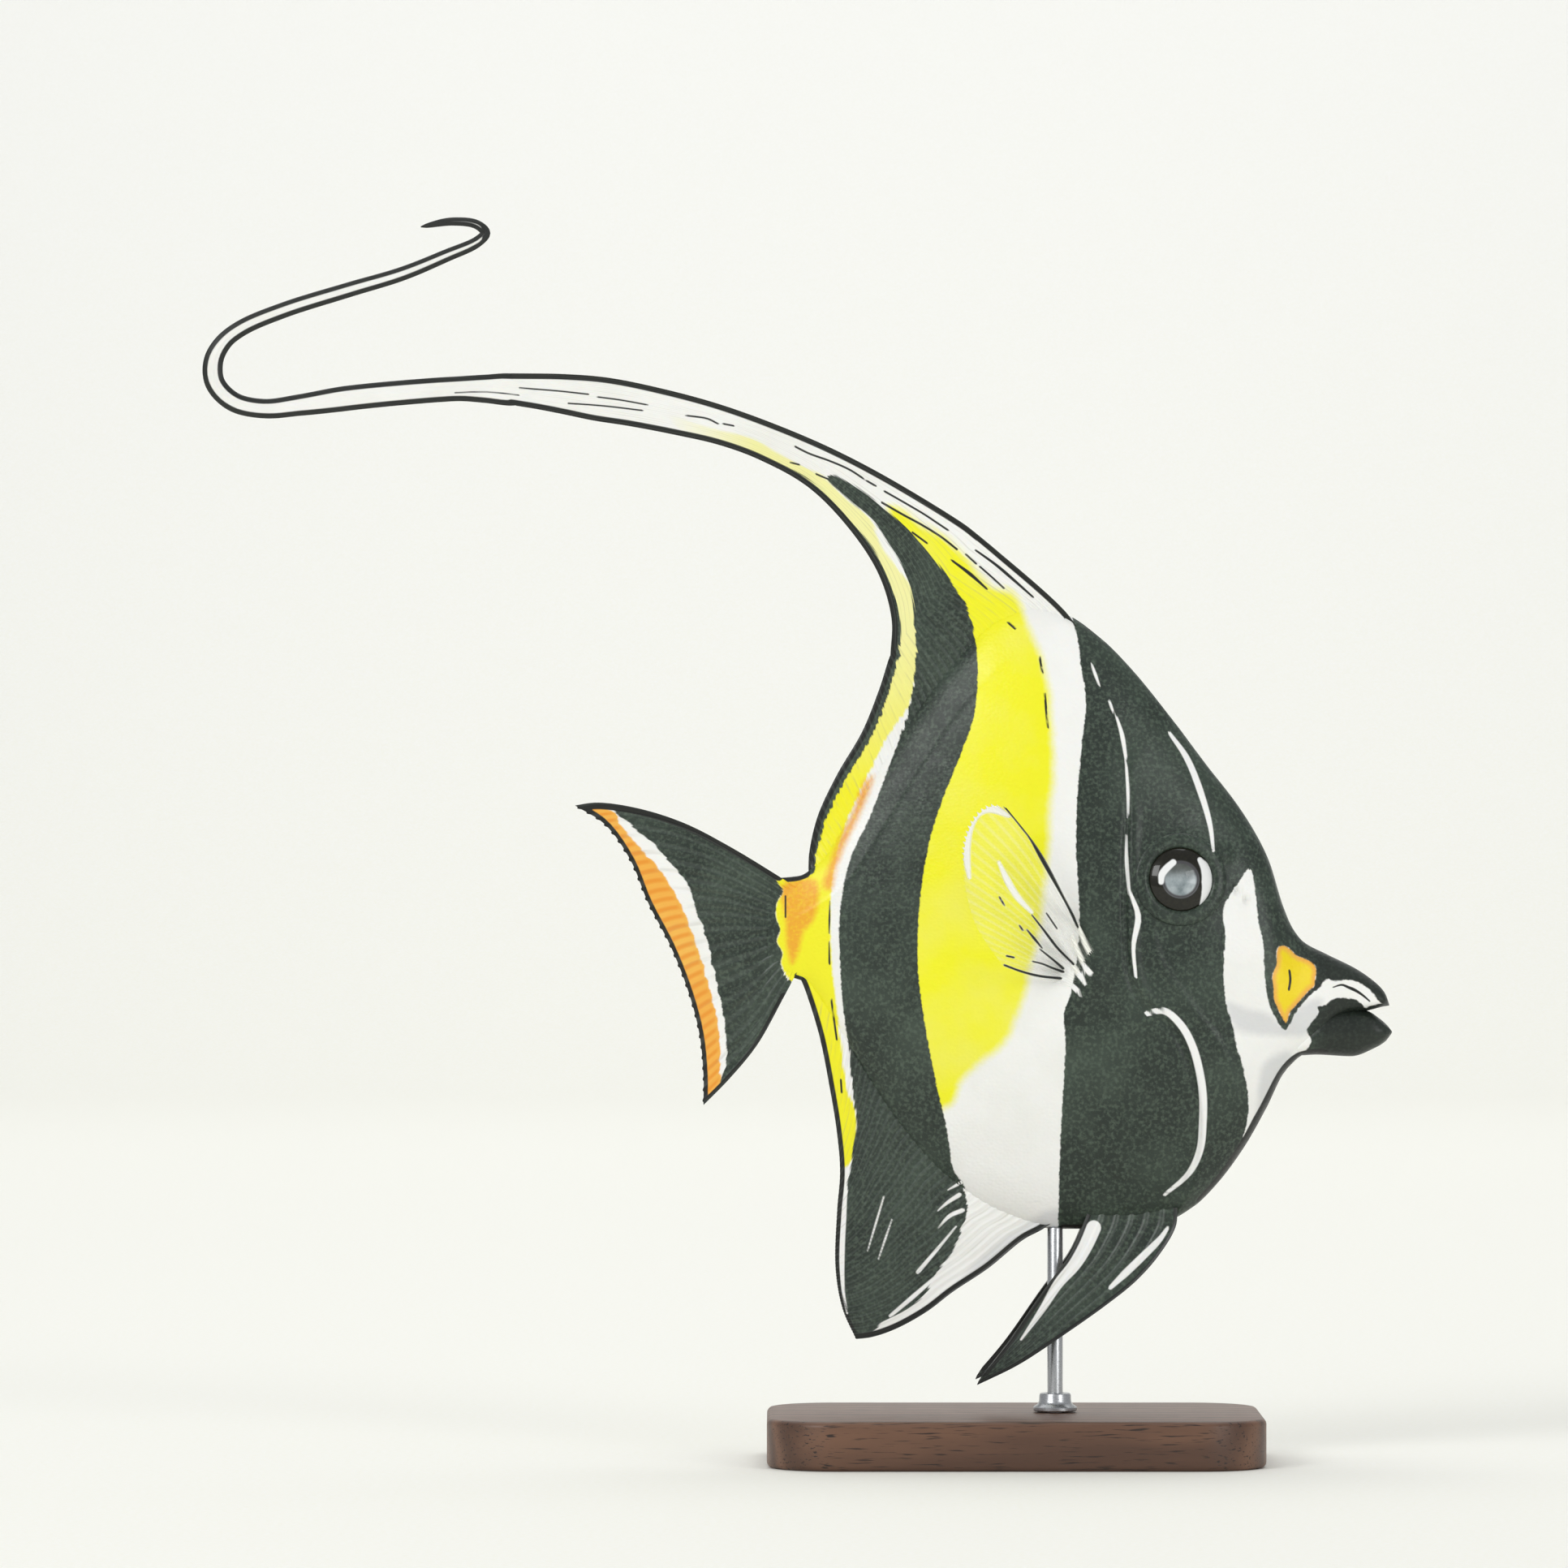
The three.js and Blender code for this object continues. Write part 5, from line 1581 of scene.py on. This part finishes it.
# %% Floor
# The wall's distance, the bend's radius and the paper's length on the floor, in metres.
WALL, BEND, PAPER = 3.65, 0.9, 8.0
bpy.ops.object.select_all(action="DESELECT")
bpy.ops.mesh.primitive_plane_add(size=PAPER, location=(0, WALL - BEND - PAPER / 2, 0))
sweep = named("sweep")
edit_edges(sweep, lambda a, b: min(a.y, b.y) > PAPER / 2 - 0.1)
bpy.ops.mesh.spin(
    steps=24, angle=-math.pi / 2, center=(0, WALL - BEND, BEND), axis=(1, 0, 0),
    use_auto_merge=False,
)
bpy.ops.mesh.extrude_region_move(TRANSFORM_OT_translate={"value": (0, 0, 3)})
faces_out()
bpy.ops.object.transform_apply(location=True, rotation=True, scale=True)
bpy.ops.object.shade_smooth()
paper, tree, shader, where = material("matt studio paper")
height = node(tree, "ShaderNodeSeparateXYZ", {"Vector": where}).outputs[2]
# The paper is a little darker and warmer on the floor, and paler up the wall.
low_warm_tone = mix(tree, ramp(tree, height, 0.0, 1.1), "#F1F0E2", "#F7F7F6")
fibrous = mix(tree, mottle(tree, where, 1.5, 4), low_warm_tone, "#F8F8F5")
finish(tree, shader, {"Base Color": fibrous}, Roughness=0.9)
dress(sweep, paper)
print("sweep reaches", [round(c, 2) for c in sweep.dimensions], "m")


# %% Light
def lamp(name, place, size, power, target=(centre[0] * MM, 0, 0.14)):
    """A soft square lamp that faces the middle of the fish or another target."""
    bpy.ops.object.light_add(type="AREA", location=place)
    made = bpy.context.object
    made.name = name
    made.data.shape = "RECTANGLE"
    made.data.size, made.data.size_y = size
    made.data.energy = power
    aim = Vector(target) - Vector(place)
    made.rotation_euler = aim.to_track_quat("-Z", "Y").to_euler()
    return made


lamp("key lamp", (-1.2, -1.5, 1.15), (0.8, 0.8), 15)
lamp("fill lamp", (1.25, -1.5, 0.65), (0.6, 0.9), 8)
lamp("top lamp", (0.0, 0.25, 1.7), (1.4, 0.9), 8)
lamp("wall lamp", (0.0, 2.1, 2.0), (2.6, 0.6), 18.5, target=(0, WALL, 0.5))
lamp("far floor lamp", (0.0, 1.15, 1.9), (2.6, 1.2), 13, target=(0, 1.4, 0.0))
world = bpy.data.worlds.new("studio")
world.use_nodes = True
world.node_tree.nodes["Background"].inputs["Color"].default_value = linear("#F4F6FA")
world.node_tree.nodes["Background"].inputs["Strength"].default_value = 0.44
bpy.context.scene.world = world
bpy.context.scene.view_settings.view_transform = "Standard"
